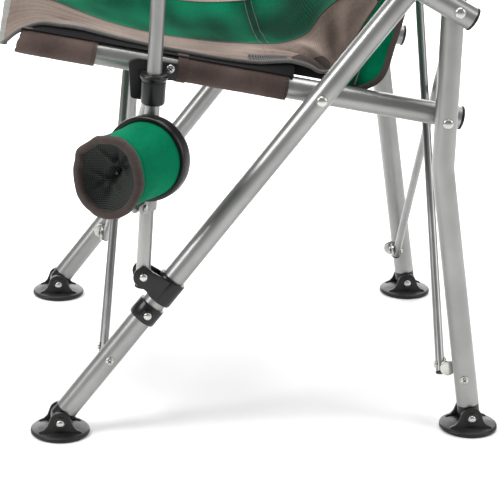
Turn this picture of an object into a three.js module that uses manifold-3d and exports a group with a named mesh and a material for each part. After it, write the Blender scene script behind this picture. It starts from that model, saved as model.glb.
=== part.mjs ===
// Folding camp chair: tube frame with cross rods, swivel feet, slung seat and back, swing-out cup holder.
// Millimetres, +Z up, the sitter looks along -Y, the sitter's left side is +X.
import * as THREE from "three";
import { mergeVertices } from "three/addons/utils/BufferGeometryUtils.js";
import Module from "manifold-3d";

const wasm = await Module();
wasm.setup();

// ---- Overall sizes -------------------------------------------------------------------------
const FOOT_SPAN = 463;          // front foot pin to rear foot pin
const FRAME_WIDTH = 438;        // centre to centre of the two leg planes
const BACK_HEIGHT = 950;        // top of the uprights
const LEG_ANGLE = 53;           // front leg from the ground, degrees
const RAIL_ANGLE = -10;         // seat rail, falling to the rear, degrees
const BACK_ANGLE = 75;          // upper part of the upright, degrees
const REAR_LEAN = 99.3;         // lower part of the rear leg, degrees (leans back)
const POST_ANGLE = 87.7;        // front post, degrees

// ---- Tubes ---------------------------------------------------------------------------------
const LEG_R = 12.5;
const POST_R = 8;
const ROD_R = 5;
const WALL = 1.5;
const SIDES = 20;
const ROD_SIDES = 12;
const BEND_STEPS = 5;

// ---- Gaps ----------------------------------------------------------------------------------
const GAP = 0.3;                // between pieces that touch
const HOLE_GAP = 0.4;           // radial, round a pin

// ---- Layers across the chair, distance from the middle -------------------------------------
const LEG_X = FRAME_WIDTH / 2;
const RAIL_X = LEG_X - 2 * LEG_R - 2;
const ARM_X = LEG_X + 2 * LEG_R + 2;
const POST_X = LEG_X + 4;
const LEG_FACE = LEG_X - LEG_R - GAP;

// ---- Places along the front leg, from the foot pin -----------------------------------------
const TUBE_START = 12;
const FRONT_CLEVIS_AT = 92;
const COLLAR_AT = 158;
const SLIDER_AT = 191;
const RAIL_PIVOT_AT = 461;
const UPRIGHT_BEND_Z = 640;
const BEND_RADIUS = 70;
const ROD_TOP_Z = 600;

// ---- Places along the seat rail, from its pivot on the leg (plus is forward) ---------------
const RAIL_FRONT = 336;
const RAIL_REAR = -160;
const REAR_PIVOT_AT = -140;
const ROD_BRACKET_AT = 180;
const ROD_BRACKET_DROP = 18;
const SLEEVE_DROP = 21;

// ---- Rear leg, arm and post ----------------------------------------------------------------
const ARM_PIVOT = [183.5, 489.5];
const REAR_TOP_Z = 497;
const REAR_BEND_Z = 308;
const REAR_UPPER_Y = 183.7;
const ARM_BEND = [20, 581];
const ARM_REAR_EXTRA = 17;
const ARM_FRONT_EXTRA = 26;
const POST_PIVOT_OFF = 31;
const POST_TOP_Z = 600;
const POST_TAIL = 12;
const POST_HEAD = 8;
const REAR_CLEVIS = [207, 67];

// ---- Feet ----------------------------------------------------------------------------------
const PIN_Z = 18;
const DISC_R = 33;
const DISC_H = 6;
const EAR_IN = LEG_R + 1;
const EAR_T = 4.5;
const EAR_R = 10;
const PIN_R = 3.2;
const PLUG_R = 10.7;
const PLUG_IN = 20;

// ---- Cross rods ----------------------------------------------------------------------------
const CLEVIS_X = 193;
const FRONT_TOP_X = 156;
const REAR_TOP_X = 188;
const ROD_OFF = 6.8;
const TAB_T = 3;
const TAB_HALF = 8;

// ---- Soft parts ----------------------------------------------------------------------------
const SEAT_HALF = 173;
const SEAT_T = 11;
const SEAT_REAR = -18;
const SEAT_FRONT = 342;
const BACK_HALF = 172;
const BACK_T = 10;
const BACK_FOOT = [96, 402];
const BACK_KNEE = [137, 520];

// ---- Cup holder ----------------------------------------------------------------------------
const CUP_TURN = -27;           // heading of the pocket axis, degrees from straight out
const RING_R = 43;
const RING_BAND = 4.5;
const RING_T = 9;
const CUP_Z = 326;
const CUP_X = 250;
const CUP_Y = -140;
const CUP_HINGE_DROP = 58;
const CUP_DEPTH = 105;
const CUP_WALL = 2.5;
const CUP_R = 41.5;
const CLAMP_H = 22;

const STEEL = { color: 0xc9d2d2, roughness: 0.35, metalness: 0.9 };
const TUBE = { color: 0xb9bdbd, roughness: 0.4, metalness: 0.8 };
const BLACK = { color: 0x1c1d1e, roughness: 0.6, metalness: 0 };
const GREEN = { color: 0x0a6b4a, roughness: 0.95, metalness: 0 };
const TAUPE = { color: 0x8a7a70, roughness: 0.95, metalness: 0 };

const rad = THREE.MathUtils.degToRad;
const heading = (angle) => [Math.cos(rad(angle)), Math.sin(rad(angle))];
const step = (from, angle, along, off = 0) => {
  const [c, s] = heading(angle);
  return [from[0] + c * along - s * off, from[1] + s * along + c * off];
};
const bearing = (a, b) => THREE.MathUtils.radToDeg(Math.atan2(b[1] - a[1], b[0] - a[0]));

// ---- Side view points, [y, z] --------------------------------------------------------------
const FRONT_PIN = [-FOOT_SPAN / 2, PIN_Z];
const REAR_PIN = [FOOT_SPAN / 2, PIN_Z];
const onLeg = (along, off = 0) => step(FRONT_PIN, LEG_ANGLE, along, off);
const RAIL_PIVOT = onLeg(RAIL_PIVOT_AT);
const onRail = (forward, off = 0) => step(RAIL_PIVOT, RAIL_ANGLE, -forward, off);
const REAR_PIVOT = onRail(REAR_PIVOT_AT);
const legAtHeight = (z) => onLeg((z - PIN_Z) / heading(LEG_ANGLE)[1]);
const POST_PIVOT = onLeg(SLIDER_AT, POST_PIVOT_OFF);
const onPost = (along) => step(POST_PIVOT, POST_ANGLE, along);
const POST_LENGTH = (POST_TOP_Z - POST_PIVOT[1]) / heading(POST_ANGLE)[1];
const ARM_FRONT_PIVOT = onPost(POST_LENGTH);

// ---- Solids --------------------------------------------------------------------------------
const solid = (geometry) => {
  geometry.deleteAttribute("normal");
  geometry.deleteAttribute("uv");
  const merged = mergeVertices(geometry, 1e-4);
  return new wasm.Manifold(new wasm.Mesh({
    numProp: 3,
    vertProperties: new Float32Array(merged.attributes.position.array),
    triVerts: new Uint32Array(merged.index.array),
  }));
};

const surface = (body) => {
  const mesh = body.getMesh();
  const geometry = new THREE.BufferGeometry();
  geometry.setAttribute("position", new THREE.BufferAttribute(mesh.vertProperties, 3));
  geometry.setIndex(new THREE.BufferAttribute(mesh.triVerts, 1));
  return geometry;
};

const union = (bodies) => bodies.reduce((sum, body) => sum.add(body));
const cut = (body, tools) => tools.reduce((rest, tool) => rest.subtract(tool), body);

// A turned cylinder between two points.
const barrel = (from, to, radius, sides = 16) => {
  const a = new THREE.Vector3(...from);
  const b = new THREE.Vector3(...to);
  const geometry = new THREE.CylinderGeometry(radius, radius, a.distanceTo(b), sides);
  const turn = new THREE.Quaternion().setFromUnitVectors(
    new THREE.Vector3(0, 1, 0), b.clone().sub(a).normalize());
  geometry.applyQuaternion(turn);
  geometry.translate(...a.add(b).multiplyScalar(0.5).toArray());
  return solid(geometry);
};

// A pin across the chair, from x0 to x1 at the side-view point.
const cross = (point, x0, x1, radius, sides = 16) =>
  barrel([x0, ...point], [x1, ...point], radius, sides);

// A block lying in the side view: x0..x1 across, size [along, off] about a point, turned by angle.
const slab = (x0, x1, centre, angle, along, off) => {
  const geometry = new THREE.BoxGeometry(x1 - x0, along, off);
  geometry.rotateX(rad(angle));
  geometry.translate((x0 + x1) / 2, ...centre);
  return solid(geometry);
};

// A flat outline in the side view, pushed from x0 to x1.
const plate = (outline, x0, x1) => {
  const shape = new THREE.Shape(outline.map(([y, z]) => new THREE.Vector2(y, z)));
  const geometry = new THREE.ExtrudeGeometry(shape, { depth: x1 - x0, bevelEnabled: false });
  geometry.applyMatrix4(new THREE.Matrix4().set(0, 0, 1, x0, 1, 0, 0, 0, 0, 1, 0, 0, 0, 0, 0, 1));
  return solid(geometry);
};

// Rounds the corners of a side-view line.
const rounded = (points, radius) => {
  const out = [points[0]];
  for (let i = 1; i < points.length - 1; i += 1) {
    const p = new THREE.Vector2(...points[i]);
    const back = new THREE.Vector2(...points[i - 1]).sub(p).normalize();
    const on = new THREE.Vector2(...points[i + 1]).sub(p).normalize();
    const half = Math.acos(THREE.MathUtils.clamp(back.dot(on), -1, 1)) / 2;
    const cutBack = radius / Math.tan(half);
    const curve = new THREE.QuadraticBezierCurve(
      p.clone().addScaledVector(back, cutBack), p, p.clone().addScaledVector(on, cutBack));
    out.push(...curve.getPoints(BEND_STEPS).map((v) => v.toArray()));
  }
  out.push(points[points.length - 1]);
  return out;
};

// An open tube that follows a side-view line at one distance from the middle.
const tube = (x, line, radius, sides = SIDES, wall = WALL) => {
  const skins = [radius, radius - wall].map((r) => line.map((point, i) => {
    const before = line[Math.max(i - 1, 0)];
    const after = line[Math.min(i + 1, line.length - 1)];
    const [c, s] = heading(bearing(before, after));
    const mitre = 1 / Math.cos(rad(bearing(point, after) - bearing(before, point)) / 2 || 0);
    return Array.from({ length: sides }, (_, k) => {
      const turn = (2 * Math.PI * k) / sides;
      const off = r * Math.sin(turn) * (i > 0 && i < line.length - 1 ? mitre : 1);
      return [x + r * Math.cos(turn), point[0] - s * off, point[1] + c * off];
    });
  }));
  const rings = [...skins[0], ...skins[1].reverse()];
  const faces = [];
  rings.forEach((_, i) => {
    const next = (i + 1) % rings.length;
    for (let k = 0; k < sides; k += 1) {
      const a = i * sides + k;
      const b = i * sides + ((k + 1) % sides);
      const c = next * sides + ((k + 1) % sides);
      const d = next * sides + k;
      faces.push(a, b, c, a, c, d);
    }
  });
  const geometry = new THREE.BufferGeometry();
  geometry.setAttribute("position", new THREE.Float32BufferAttribute(rings.flat(2), 3));
  geometry.setIndex(faces);
  return outward(geometry);
};

// Turns a closed skin the right way out.
const outward = (geometry) => {
  const body = solid(geometry.clone());
  if (body.volume() > 0) return body;
  const index = geometry.index.array.slice();
  for (let i = 0; i < index.length; i += 3) [index[i], index[i + 1]] = [index[i + 1], index[i]];
  geometry.setIndex(new THREE.BufferAttribute(index, 1));
  return solid(geometry);
};

const straight = (x, from, to, radius, sides = SIDES, wall = WALL) =>
  tube(x, [from, to], radius, sides, wall);

const drill = (x, point, radius = PIN_R + HOLE_GAP) =>
  cross(point, x - 2 * LEG_R, x + 2 * LEG_R, radius, 12);

// A rivet with a head at each end, x0..x1 being the stack it holds.
const rivet = (point, x0, x1) => union([
  cross(point, x0 - GAP - 1, x1 + GAP + 1, PIN_R, 12),
  cross(point, x0 - GAP - 2.6, x0 - GAP, 6, 16),
  cross(point, x1 + GAP, x1 + GAP + 2.6, 6, 16),
]);

// ---- Frame tubes ---------------------------------------------------------------------------
const uprightTop = () => {
  const knee = legAtHeight(UPRIGHT_BEND_Z);
  const [c, s] = heading(BACK_ANGLE);
  const rise = (BACK_HEIGHT - knee[1]) / s;
  return [knee[0] + c * rise, BACK_HEIGHT];
};

const frontLeg = () => cut(
  tube(LEG_X, rounded([onLeg(TUBE_START), legAtHeight(UPRIGHT_BEND_Z), uprightTop()], BEND_RADIUS), LEG_R),
  [drill(LEG_X, RAIL_PIVOT)]);

const seatRail = () => cut(
  straight(RAIL_X, onRail(RAIL_REAR), onRail(RAIL_FRONT), LEG_R),
  [drill(RAIL_X, RAIL_PIVOT), drill(RAIL_X, REAR_PIVOT)]);

const rearLegLine = () => rounded([
  step(REAR_PIN, REAR_LEAN, TUBE_START),
  [REAR_UPPER_Y, REAR_BEND_Z],
  [REAR_UPPER_Y, REAR_TOP_Z],
], BEND_RADIUS);

const rearLeg = () => cut(tube(LEG_X, rearLegLine(), LEG_R), [drill(LEG_X, REAR_PIVOT)]);

const postTube = () => cut(
  straight(POST_X, onPost(-POST_TAIL), onPost(POST_LENGTH + POST_HEAD), POST_R, 16),
  [drill(POST_X, POST_PIVOT), drill(POST_X, ARM_FRONT_PIVOT)]);

const armLine = () => {
  const rear = step(ARM_PIVOT, bearing(ARM_BEND, ARM_PIVOT), ARM_REAR_EXTRA);
  const front = step(ARM_FRONT_PIVOT, bearing(ARM_BEND, ARM_FRONT_PIVOT), ARM_FRONT_EXTRA);
  return rounded([rear, ARM_BEND, front], BEND_RADIUS * 2);
};

const armTube = () => union([
  cut(tube(ARM_X, armLine(), LEG_R), [drill(ARM_X, ARM_PIVOT)]),
  cross(ARM_FRONT_PIVOT, POST_X - POST_R - 1, ARM_X - LEG_R + 1, PIN_R, 12),
  cross(ARM_FRONT_PIVOT, POST_X - POST_R - GAP - 2.6, POST_X - POST_R - GAP, 5.5, 16),
]);

// ---- Plugs and caps ------------------------------------------------------------------------
const legPlug = (pin, angle) => cut(union([
  cross(pin, LEG_X - LEG_R, LEG_X + LEG_R, EAR_R + 1, 20),
  barrel([LEG_X, ...step(pin, angle, 2)], [LEG_X, ...step(pin, angle, TUBE_START - GAP)], LEG_R - 0.5, SIDES),
  barrel([LEG_X, ...step(pin, angle, 2)], [LEG_X, ...step(pin, angle, TUBE_START + PLUG_IN)], PLUG_R, SIDES),
]), [cross(pin, LEG_X - 20, LEG_X + 20, PIN_R + HOLE_GAP, 12)]);

const endCap = (x, tip, angle) => union([
  barrel([x, ...step(tip, angle, GAP)], [x, ...step(tip, angle, GAP + 3)], LEG_R + 0.8, SIDES),
  barrel([x, ...step(tip, angle, -12)], [x, ...step(tip, angle, GAP + 1)], PLUG_R, SIDES),
]);

// ---- Feet ----------------------------------------------------------------------------------
const foot = (pin) => {
  const disc = new THREE.LatheGeometry([
    [0, 0], [DISC_R - 2, 0], [DISC_R, 2], [DISC_R, DISC_H - 1], [DISC_R - 1.5, DISC_H],
    [DISC_R - 5, DISC_H], [DISC_R - 7, DISC_H - 1.5], [0, DISC_H - 1.5],
  ].map(([r, h]) => new THREE.Vector2(r, h)), 32);
  disc.rotateX(Math.PI / 2);
  disc.translate(LEG_X, pin[0], 0);
  const ear = [];
  for (let i = 0; i <= 10; i += 1) ear.push(step(pin, 18 * i, EAR_R));
  ear.push([pin[0] - EAR_R - 5, DISC_H - 2], [pin[0] + EAR_R + 5, DISC_H - 2]);
  const ears = [1, -1].map((side) => {
    const faces = [LEG_X + side * EAR_IN, LEG_X + side * (EAR_IN + EAR_T)].sort((a, b) => a - b);
    return plate(ear, ...faces);
  });
  const pinBody = cross(pin, LEG_X - EAR_IN - EAR_T - 1.5, LEG_X + EAR_IN + EAR_T + 1.5, PIN_R, 16);
  return union([outward(disc), ...ears, pinBody]);
};

// ---- Sliding parts on the leg and post -----------------------------------------------------
const ringOn = (x, from, to, outer, inner, sides = 24) => straight(x, from, to, outer, sides, outer - inner);

const collar = () => ringOn(LEG_X, onLeg(COLLAR_AT - 9), onLeg(COLLAR_AT + 9), LEG_R + 2.6, LEG_R + GAP);

const slider = () => {
  const bore = barrel([LEG_X, ...onLeg(SLIDER_AT - 40)], [LEG_X, ...onLeg(SLIDER_AT + 40)], LEG_R + GAP, 24);
  const ears = [-1, 1].map((side) => {
    const near = POST_X + side * (POST_R + 0.6);
    const far = POST_X + side * (POST_R + 4.4);
    const [x0, x1] = [near, far].sort((a, b) => a - b);
    return union([
      slab(x0, x1, onLeg(SLIDER_AT, POST_PIVOT_OFF / 2), LEG_ANGLE, 18, POST_PIVOT_OFF),
      cross(POST_PIVOT, x0, x1, 9, 20),
    ]);
  });
  const body = union([
    barrel([LEG_X, ...onLeg(SLIDER_AT - 15)], [LEG_X, ...onLeg(SLIDER_AT + 15)], LEG_R + 3.2, 24),
    ...ears,
  ]);
  return cut(body, [bore]).add(cross(POST_PIVOT, POST_X - POST_R - 4, POST_X + POST_R + 4, PIN_R, 12));
};

const postSleeve = () => {
  const at = sleeveAlong();
  return union([
    ringOn(POST_X, onPost(at - 14), onPost(at + 11), POST_R + 3.6, POST_R + GAP),
    ringOn(POST_X, onPost(at + 10), onPost(at + 14), POST_R + 5, POST_R + GAP),
  ]);
};

// Where the sleeve sits on the post: level with the plate on the rail.
const sleeveAlong = () => {
  const [c, s] = heading(RAIL_ANGLE);
  const target = onRail(0, -SLEEVE_DROP);
  const [pc, ps] = heading(POST_ANGLE);
  const gapToLine = -(target[0] - POST_PIVOT[0]) * s + (target[1] - POST_PIVOT[1]) * c;
  return gapToLine / (-pc * s + ps * c);
};

const railPlate = () => {
  const x0 = RAIL_X + LEG_R + GAP;
  const outline = [[153, 12], [205, 12], [208, 6], [208, -34], [196, -37], [189, -12], [156, -11]];
  return plate(outline.map(([t, off]) => onRail(t, off)), x0, x0 + 3.4);
};

// ---- Cross rods and their brackets ---------------------------------------------------------
const CROSSES = {
  front: {
    low: onLeg(FRONT_CLEVIS_AT),
    high: onRail(ROD_BRACKET_AT, -ROD_BRACKET_DROP),
    topX: FRONT_TOP_X,
  },
  rear: { low: REAR_CLEVIS, high: legAtHeight(ROD_TOP_Z), topX: REAR_TOP_X },
};

// Which side of its bracket a rod runs on: the left rod in front, the right one behind.
const rodOffset = (left) => (left ? -ROD_OFF : ROD_OFF);
const planeAngle = ({ low, high }) => bearing(low, high);
const shifted = (point, angle, offset) => step(point, angle, 0, -offset);

const clevis = (pair, left) => {
  const angle = planeAngle(pair);
  const offset = rodOffset(left);
  const reach = Math.sign(offset) * (ROD_OFF + ROD_R + 2.4);
  const pin = (from, to, radius) => barrel(
    [CLEVIS_X, ...shifted(pair.low, angle, from)], [CLEVIS_X, ...shifted(pair.low, angle, to)], radius, 12);
  return union([
    cross(pair.low, LEG_FACE - 3.2, LEG_FACE, 9, 20),
    slab(CLEVIS_X - TAB_HALF, LEG_FACE - 1, pair.low, angle, 2 * TAB_HALF, TAB_T),
    pin(0, reach, 2.4),
    pin(Math.sign(offset) * (ROD_OFF + ROD_R + GAP), reach, 4.5),
  ]);
};

const crossRod = (pair, left) => {
  const angle = planeAngle(pair);
  const offset = rodOffset(left);
  const low = [CLEVIS_X, ...shifted(pair.low, angle, offset)];
  const high = [-pair.topX, ...shifted(pair.high, angle, offset)];
  const a = new THREE.Vector3(...low);
  const b = new THREE.Vector3(...high);
  const along = b.clone().sub(a).normalize();
  const start = a.clone().addScaledVector(along, -TAB_HALF).toArray();
  const end = b.clone().addScaledVector(along, TAB_HALF - 2).toArray();
  const bore = barrel(a.clone().addScaledVector(along, -2 * TAB_HALF).toArray(),
    b.clone().addScaledVector(along, 2 * TAB_HALF).toArray(), ROD_R - 1, ROD_SIDES);
  const hole = (x, point, radius) => barrel(
    [x, ...shifted(point, angle, -20)], [x, ...shifted(point, angle, 20)], radius, 12);
  return cut(barrel(start, end, ROD_R, ROD_SIDES),
    [bore, hole(CLEVIS_X, pair.low, 2.4 + HOLE_GAP), hole(-pair.topX, pair.high, 2.4 + HOLE_GAP)]);
};

// The bracket that takes the top of the rod coming from the other side.
const topTab = (pair, left, faceX) => {
  const angle = planeAngle(pair);
  const offset = rodOffset(!left) - ROD_R - 0.4 - TAB_T / 2;
  return slab(pair.topX - TAB_HALF, faceX, shifted(pair.high, angle, offset), angle, 2 * TAB_HALF, TAB_T);
};

const railBracket = (left) => {
  const face = RAIL_X - LEG_R - GAP;
  const offset = rodOffset(!left) - ROD_R - 0.4 - TAB_T / 2;
  const seat = onRail(ROD_BRACKET_AT - offset + 7, -10);
  return union([
    topTab(CROSSES.front, left, face - 1),
    slab(face - 3, face, seat, RAIL_ANGLE, 18, 28),
  ]);
};

const uprightBracket = (left) => {
  const pair = CROSSES.rear;
  const angle = planeAngle(pair);
  const offset = rodOffset(!left) - ROD_R - 0.4 - TAB_T / 2;
  const centre = shifted(pair.high, angle, offset);
  return union([
    topTab(pair, left, LEG_FACE - 1),
    slab(LEG_FACE - 3, LEG_FACE, centre, LEG_ANGLE, 26, 14),
  ]);
};

// ---- Arm -----------------------------------------------------------------------------------
const armPad = () => {
  const angle = bearing(ARM_FRONT_PIVOT, ARM_BEND);
  const shape = new THREE.Shape();
  const [half, tall, r] = [26, 10, 8];
  shape.moveTo(-half + r, -tall).lineTo(half - r, -tall);
  shape.quadraticCurveTo(half, -tall, half, 0).quadraticCurveTo(half, tall, half - r, tall);
  shape.lineTo(-half + r, tall).quadraticCurveTo(-half, tall, -half, 0);
  shape.quadraticCurveTo(-half, -tall, -half + r, -tall);
  const length = 176;
  const geometry = new THREE.ExtrudeGeometry(shape, {
    depth: length - 12, bevelThickness: 6, bevelSize: 6, bevelOffset: -6, bevelSegments: 2, curveSegments: 4,
  });
  geometry.translate(0, 0, -(length - 12) / 2);
  geometry.applyMatrix4(new THREE.Matrix4().set(1, 0, 0, 0, 0, 0, 1, 0, 0, 1, 0, 0, 0, 0, 0, 1));
  geometry.rotateX(rad(angle));
  const middle = step(ARM_FRONT_PIVOT, angle, 66, LEG_R + GAP + tall + 0.6);
  geometry.translate(ARM_X, ...middle);
  return outward(mergeVertices(bare(geometry), 1e-4));
};

const bare = (geometry) => {
  geometry.deleteAttribute("normal");
  geometry.deleteAttribute("uv");
  return geometry;
};

const armBolt = () => union([
  cross(ARM_PIVOT, ARM_X + LEG_R + GAP, ARM_X + LEG_R + GAP + 2.6, 6, 16),
  cross(ARM_PIVOT, ARM_X - LEG_R - 1, ARM_X + LEG_R + GAP + 1, PIN_R, 12),
]);

// ---- Cup holder ----------------------------------------------------------------------------
const outDir = () => {
  const [c, s] = heading(CUP_TURN);
  return new THREE.Vector3(c, s, 0);
};
const ringCentre = () => new THREE.Vector3(CUP_X, CUP_Y, CUP_Z);
const hingePoint = () => ringCentre().add(new THREE.Vector3(0, 0, -CUP_HINGE_DROP));
const hingeDir = () => new THREE.Vector3(0, 0, 1).cross(outDir());

const placed = (geometry) => {
  const basis = new THREE.Matrix4().makeBasis(hingeDir(), new THREE.Vector3(0, 0, 1), outDir());
  geometry.applyMatrix4(basis);
  geometry.translate(...ringCentre().toArray());
  return geometry;
};

// A turned shape about the pocket axis; profile points are [radius, outward].
const turned = (profile, sides = 32) => {
  const geometry = new THREE.LatheGeometry(profile.map(([r, h]) => new THREE.Vector2(r, h)), sides);
  geometry.rotateX(Math.PI / 2);
  return outward(bare(placed(geometry)));
};

const cupRing = () => {
  const inner = RING_R - RING_BAND / 2;
  const outer = RING_R + RING_BAND;
  const band = turned([[inner, -RING_T / 2], [outer, -RING_T / 2], [outer, RING_T / 2],
    [inner, RING_T / 2], [inner, -RING_T / 2]]);
  const at = hingePoint();
  const dir = hingeDir();
  const up = new THREE.Vector3(0, 0, 1);
  const lugTop = at.clone().addScaledVector(up, CUP_HINGE_DROP - RING_R - 2);
  const lug = barrel(at.toArray(), lugTop.toArray(), 4, 12);
  const knuckle = barrel(at.clone().addScaledVector(dir, -5).toArray(),
    at.clone().addScaledVector(dir, 5).toArray(), 6, 16);
  const hole = barrel(at.clone().addScaledVector(dir, -12).toArray(),
    at.clone().addScaledVector(dir, 12).toArray(), 2.4 + HOLE_GAP, 12);
  return cut(union([band, lug, knuckle]), [hole]);
};

const cupPocket = () => {
  const start = RING_T / 2 + GAP;
  const end = start + CUP_DEPTH;
  const foot = CUP_R - 4;
  return turned([[0, end], [foot - 3, end], [foot, end - 3], [CUP_R, start], [CUP_R - CUP_WALL, start],
    [foot - CUP_WALL, end - 5], [foot - CUP_WALL - 2, end - CUP_WALL], [0, end - CUP_WALL]]);
};

const cupClamp = () => {
  const at = hingePoint();
  const along = (at.z - POST_PIVOT[1]) / heading(POST_ANGLE)[1];
  const centre = new THREE.Vector3(POST_X, ...onPost(along));
  const dir = hingeDir();
  const ring = barrel([POST_X, ...onPost(along - CLAMP_H / 2)], [POST_X, ...onPost(along + CLAMP_H / 2)],
    POST_R + 4, 20);
  const block = (size, back, aside) => {
    const geometry = new THREE.BoxGeometry(...size);
    geometry.applyMatrix4(new THREE.Matrix4().makeBasis(
      dir.clone(), new THREE.Vector3(0, 0, 1), outDir()));
    const spot = at.clone().addScaledVector(outDir(), -back).addScaledVector(dir, aside);
    geometry.translate(spot.x, spot.y, spot.z);
    return outward(bare(geometry));
  };
  const cheeks = [-1, 1].map((side) => block([4, 12, 16], 8, side * 7.6));
  const bridge = block([26, 12, 7], 18, 3);
  const eyes = [-1, 1].map((side) => barrel(
    at.clone().addScaledVector(dir, side * 5.6).toArray(),
    at.clone().addScaledVector(dir, side * 9.6).toArray(), 6, 16));
  const pin = barrel(at.clone().addScaledVector(dir, -9).toArray(),
    at.clone().addScaledVector(dir, 9).toArray(), 2.4, 12);
  const bore = barrel([POST_X, ...onPost(along - 40)], [POST_X, ...onPost(along + 40)], POST_R + GAP, 20);
  return cut(union([ring, bridge, ...cheeks, ...eyes, pin]), [bore]);
};

// ---- Soft parts ----------------------------------------------------------------------------
const seatPanel = () => slab(-SEAT_HALF, SEAT_HALF,
  onRail((SEAT_FRONT + SEAT_REAR) / 2, 1), RAIL_ANGLE, SEAT_FRONT - SEAT_REAR, SEAT_T);

const backPanel = () => {
  const knee = legAtHeight(UPRIGHT_BEND_Z);
  const top = uprightTop();
  const line = [
    BACK_FOOT,
    BACK_KNEE,
    step(knee, LEG_ANGLE, -6, 8),
    step(top, BACK_ANGLE, -16, 5),
  ];
  const side = (sign) => line.map((point, i) => {
    const before = line[Math.max(i - 1, 0)];
    const after = line[Math.min(i + 1, line.length - 1)];
    return step(point, bearing(before, after), 0, (sign * BACK_T) / 2);
  });
  return plate([...side(1), ...side(-1).reverse()], -BACK_HALF, BACK_HALF);
};

// ---- Assembly ------------------------------------------------------------------------------
const chair = new THREE.Group();
chair.name = "folding_camp_chair";

const addNode = (name, body, look, left = true) => {
  const geometry = surface(body);
  if (!left) {
    geometry.scale(-1, 1, 1);
    const index = geometry.index.array;
    for (let i = 0; i < index.length; i += 3) [index[i], index[i + 1]] = [index[i + 1], index[i]];
  }
  geometry.computeVertexNormals();
  const mesh = new THREE.Mesh(geometry, new THREE.MeshStandardMaterial({ ...look, name }));
  mesh.name = name;
  chair.add(mesh);
};

const addSide = (left) => {
  const side = left ? "left" : "right";
  const add = (name, body, look) => addNode(`${name}_${side}`, body, look, left);
  const rearFootAngle = REAR_LEAN;
  add("front_leg", frontLeg(), TUBE);
  add("rear_leg", rearLeg(), TUBE);
  add("seat_rail", seatRail(), TUBE);
  add("front_post", postTube(), TUBE);
  add("arm_tube", armTube(), TUBE);
  add("front_foot", foot(FRONT_PIN), BLACK);
  add("rear_foot", foot(REAR_PIN), BLACK);
  add("front_plug", legPlug(FRONT_PIN, LEG_ANGLE), BLACK);
  add("rear_plug", legPlug(REAR_PIN, rearFootAngle), BLACK);
  add("rail_cap", endCap(RAIL_X, onRail(RAIL_REAR), RAIL_ANGLE), BLACK);
  add("arm_cap", endCap(ARM_X, armLine()[0], bearing(ARM_BEND, ARM_PIVOT)), BLACK);
  add("back_cap", endCap(LEG_X, uprightTop(), BACK_ANGLE), BLACK);
  add("rail_plate", railPlate(), BLACK);
  add("post_sleeve", postSleeve(), BLACK);
  add("leg_slider", slider(), BLACK);
  add("stop_collar", collar(), BLACK);
  add("arm_pad", armPad(), BLACK);
  add("rail_rivet", rivet(RAIL_PIVOT, RAIL_X - LEG_R, LEG_X + LEG_R), STEEL);
  add("rear_rivet", rivet(REAR_PIVOT, RAIL_X - LEG_R, LEG_X + LEG_R), STEEL);
  add("arm_bolt", armBolt(), STEEL);
  for (const [name, pair] of Object.entries(CROSSES)) {
    add(`${name}_clevis`, clevis(pair, left), STEEL);
    add(`${name}_rod`, crossRod(pair, left), TUBE);
  }
  add("rail_bracket", railBracket(left), STEEL);
  add("upright_bracket", uprightBracket(left), STEEL);
};

addSide(true);
addSide(false);
addNode("seat_panel", seatPanel(), GREEN);
addNode("back_panel", backPanel(), GREEN);
addNode("cup_clamp", cupClamp(), BLACK);
addNode("cup_ring", cupRing(), BLACK);
addNode("cup_pocket", cupPocket(), TAUPE);

// Stands the chair on the ground with its box centred on the origin.
const box = new THREE.Box3().setFromObject(chair);
const middle = box.getCenter(new THREE.Vector3());
chair.children.forEach((mesh) => mesh.geometry.translate(-middle.x, -middle.y, -box.min.z));

export default chair;
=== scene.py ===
"""Looks of a folding camp chair: tubes, plastic fittings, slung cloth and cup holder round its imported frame."""
import logging
import math
from dataclasses import dataclass
from enum import Enum
from typing import Callable, Optional, Sequence

import bpy
import numpy as np
from mathutils import Matrix, Vector


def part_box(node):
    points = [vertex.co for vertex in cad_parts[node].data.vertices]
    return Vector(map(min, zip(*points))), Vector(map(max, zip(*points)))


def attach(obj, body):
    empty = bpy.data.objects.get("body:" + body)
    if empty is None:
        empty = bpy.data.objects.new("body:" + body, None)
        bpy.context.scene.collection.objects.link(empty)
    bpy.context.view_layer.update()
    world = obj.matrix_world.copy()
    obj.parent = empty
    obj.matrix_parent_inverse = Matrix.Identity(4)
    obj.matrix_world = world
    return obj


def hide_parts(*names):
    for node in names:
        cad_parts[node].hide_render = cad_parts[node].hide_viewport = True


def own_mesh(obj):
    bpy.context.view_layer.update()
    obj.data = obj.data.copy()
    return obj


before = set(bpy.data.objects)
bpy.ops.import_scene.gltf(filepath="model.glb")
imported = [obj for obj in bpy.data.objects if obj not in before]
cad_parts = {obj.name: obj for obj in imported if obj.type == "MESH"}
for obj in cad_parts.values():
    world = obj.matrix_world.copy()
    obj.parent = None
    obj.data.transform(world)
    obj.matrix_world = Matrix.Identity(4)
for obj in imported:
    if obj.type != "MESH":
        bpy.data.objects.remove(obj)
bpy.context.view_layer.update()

LOG = logging.getLogger("camp_chair")
Array = np.ndarray
MM = 0.001


class Side(Enum):
    """The two sides of the chair; the value is the sign of X."""

    LEFT = 1
    RIGHT = -1

    @property
    def word(self) -> str:
        """Name used in node and body names."""
        return self.name.lower()


# ---------------------------------------------------------------- layout, millimetres


def heading(angle: float) -> Array:
    """Unit direction in the side view at an angle in degrees from the rear, turning up."""
    return np.array([math.cos(math.radians(angle)), math.sin(math.radians(angle))])


def step(start: Sequence[float], angle: float, along: float, off: float = 0.0) -> Array:
    """Side-view point reached by going along a heading and then off to its left."""
    run = heading(angle)
    return np.asarray(start, float) + run * along + np.array([-run[1], run[0]]) * off


def bearing(start: Sequence[float], end: Sequence[float]) -> float:
    """Heading in degrees from one side-view point to another."""
    gap = np.asarray(end, float) - np.asarray(start, float)
    return math.degrees(math.atan2(gap[1], gap[0]))


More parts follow.
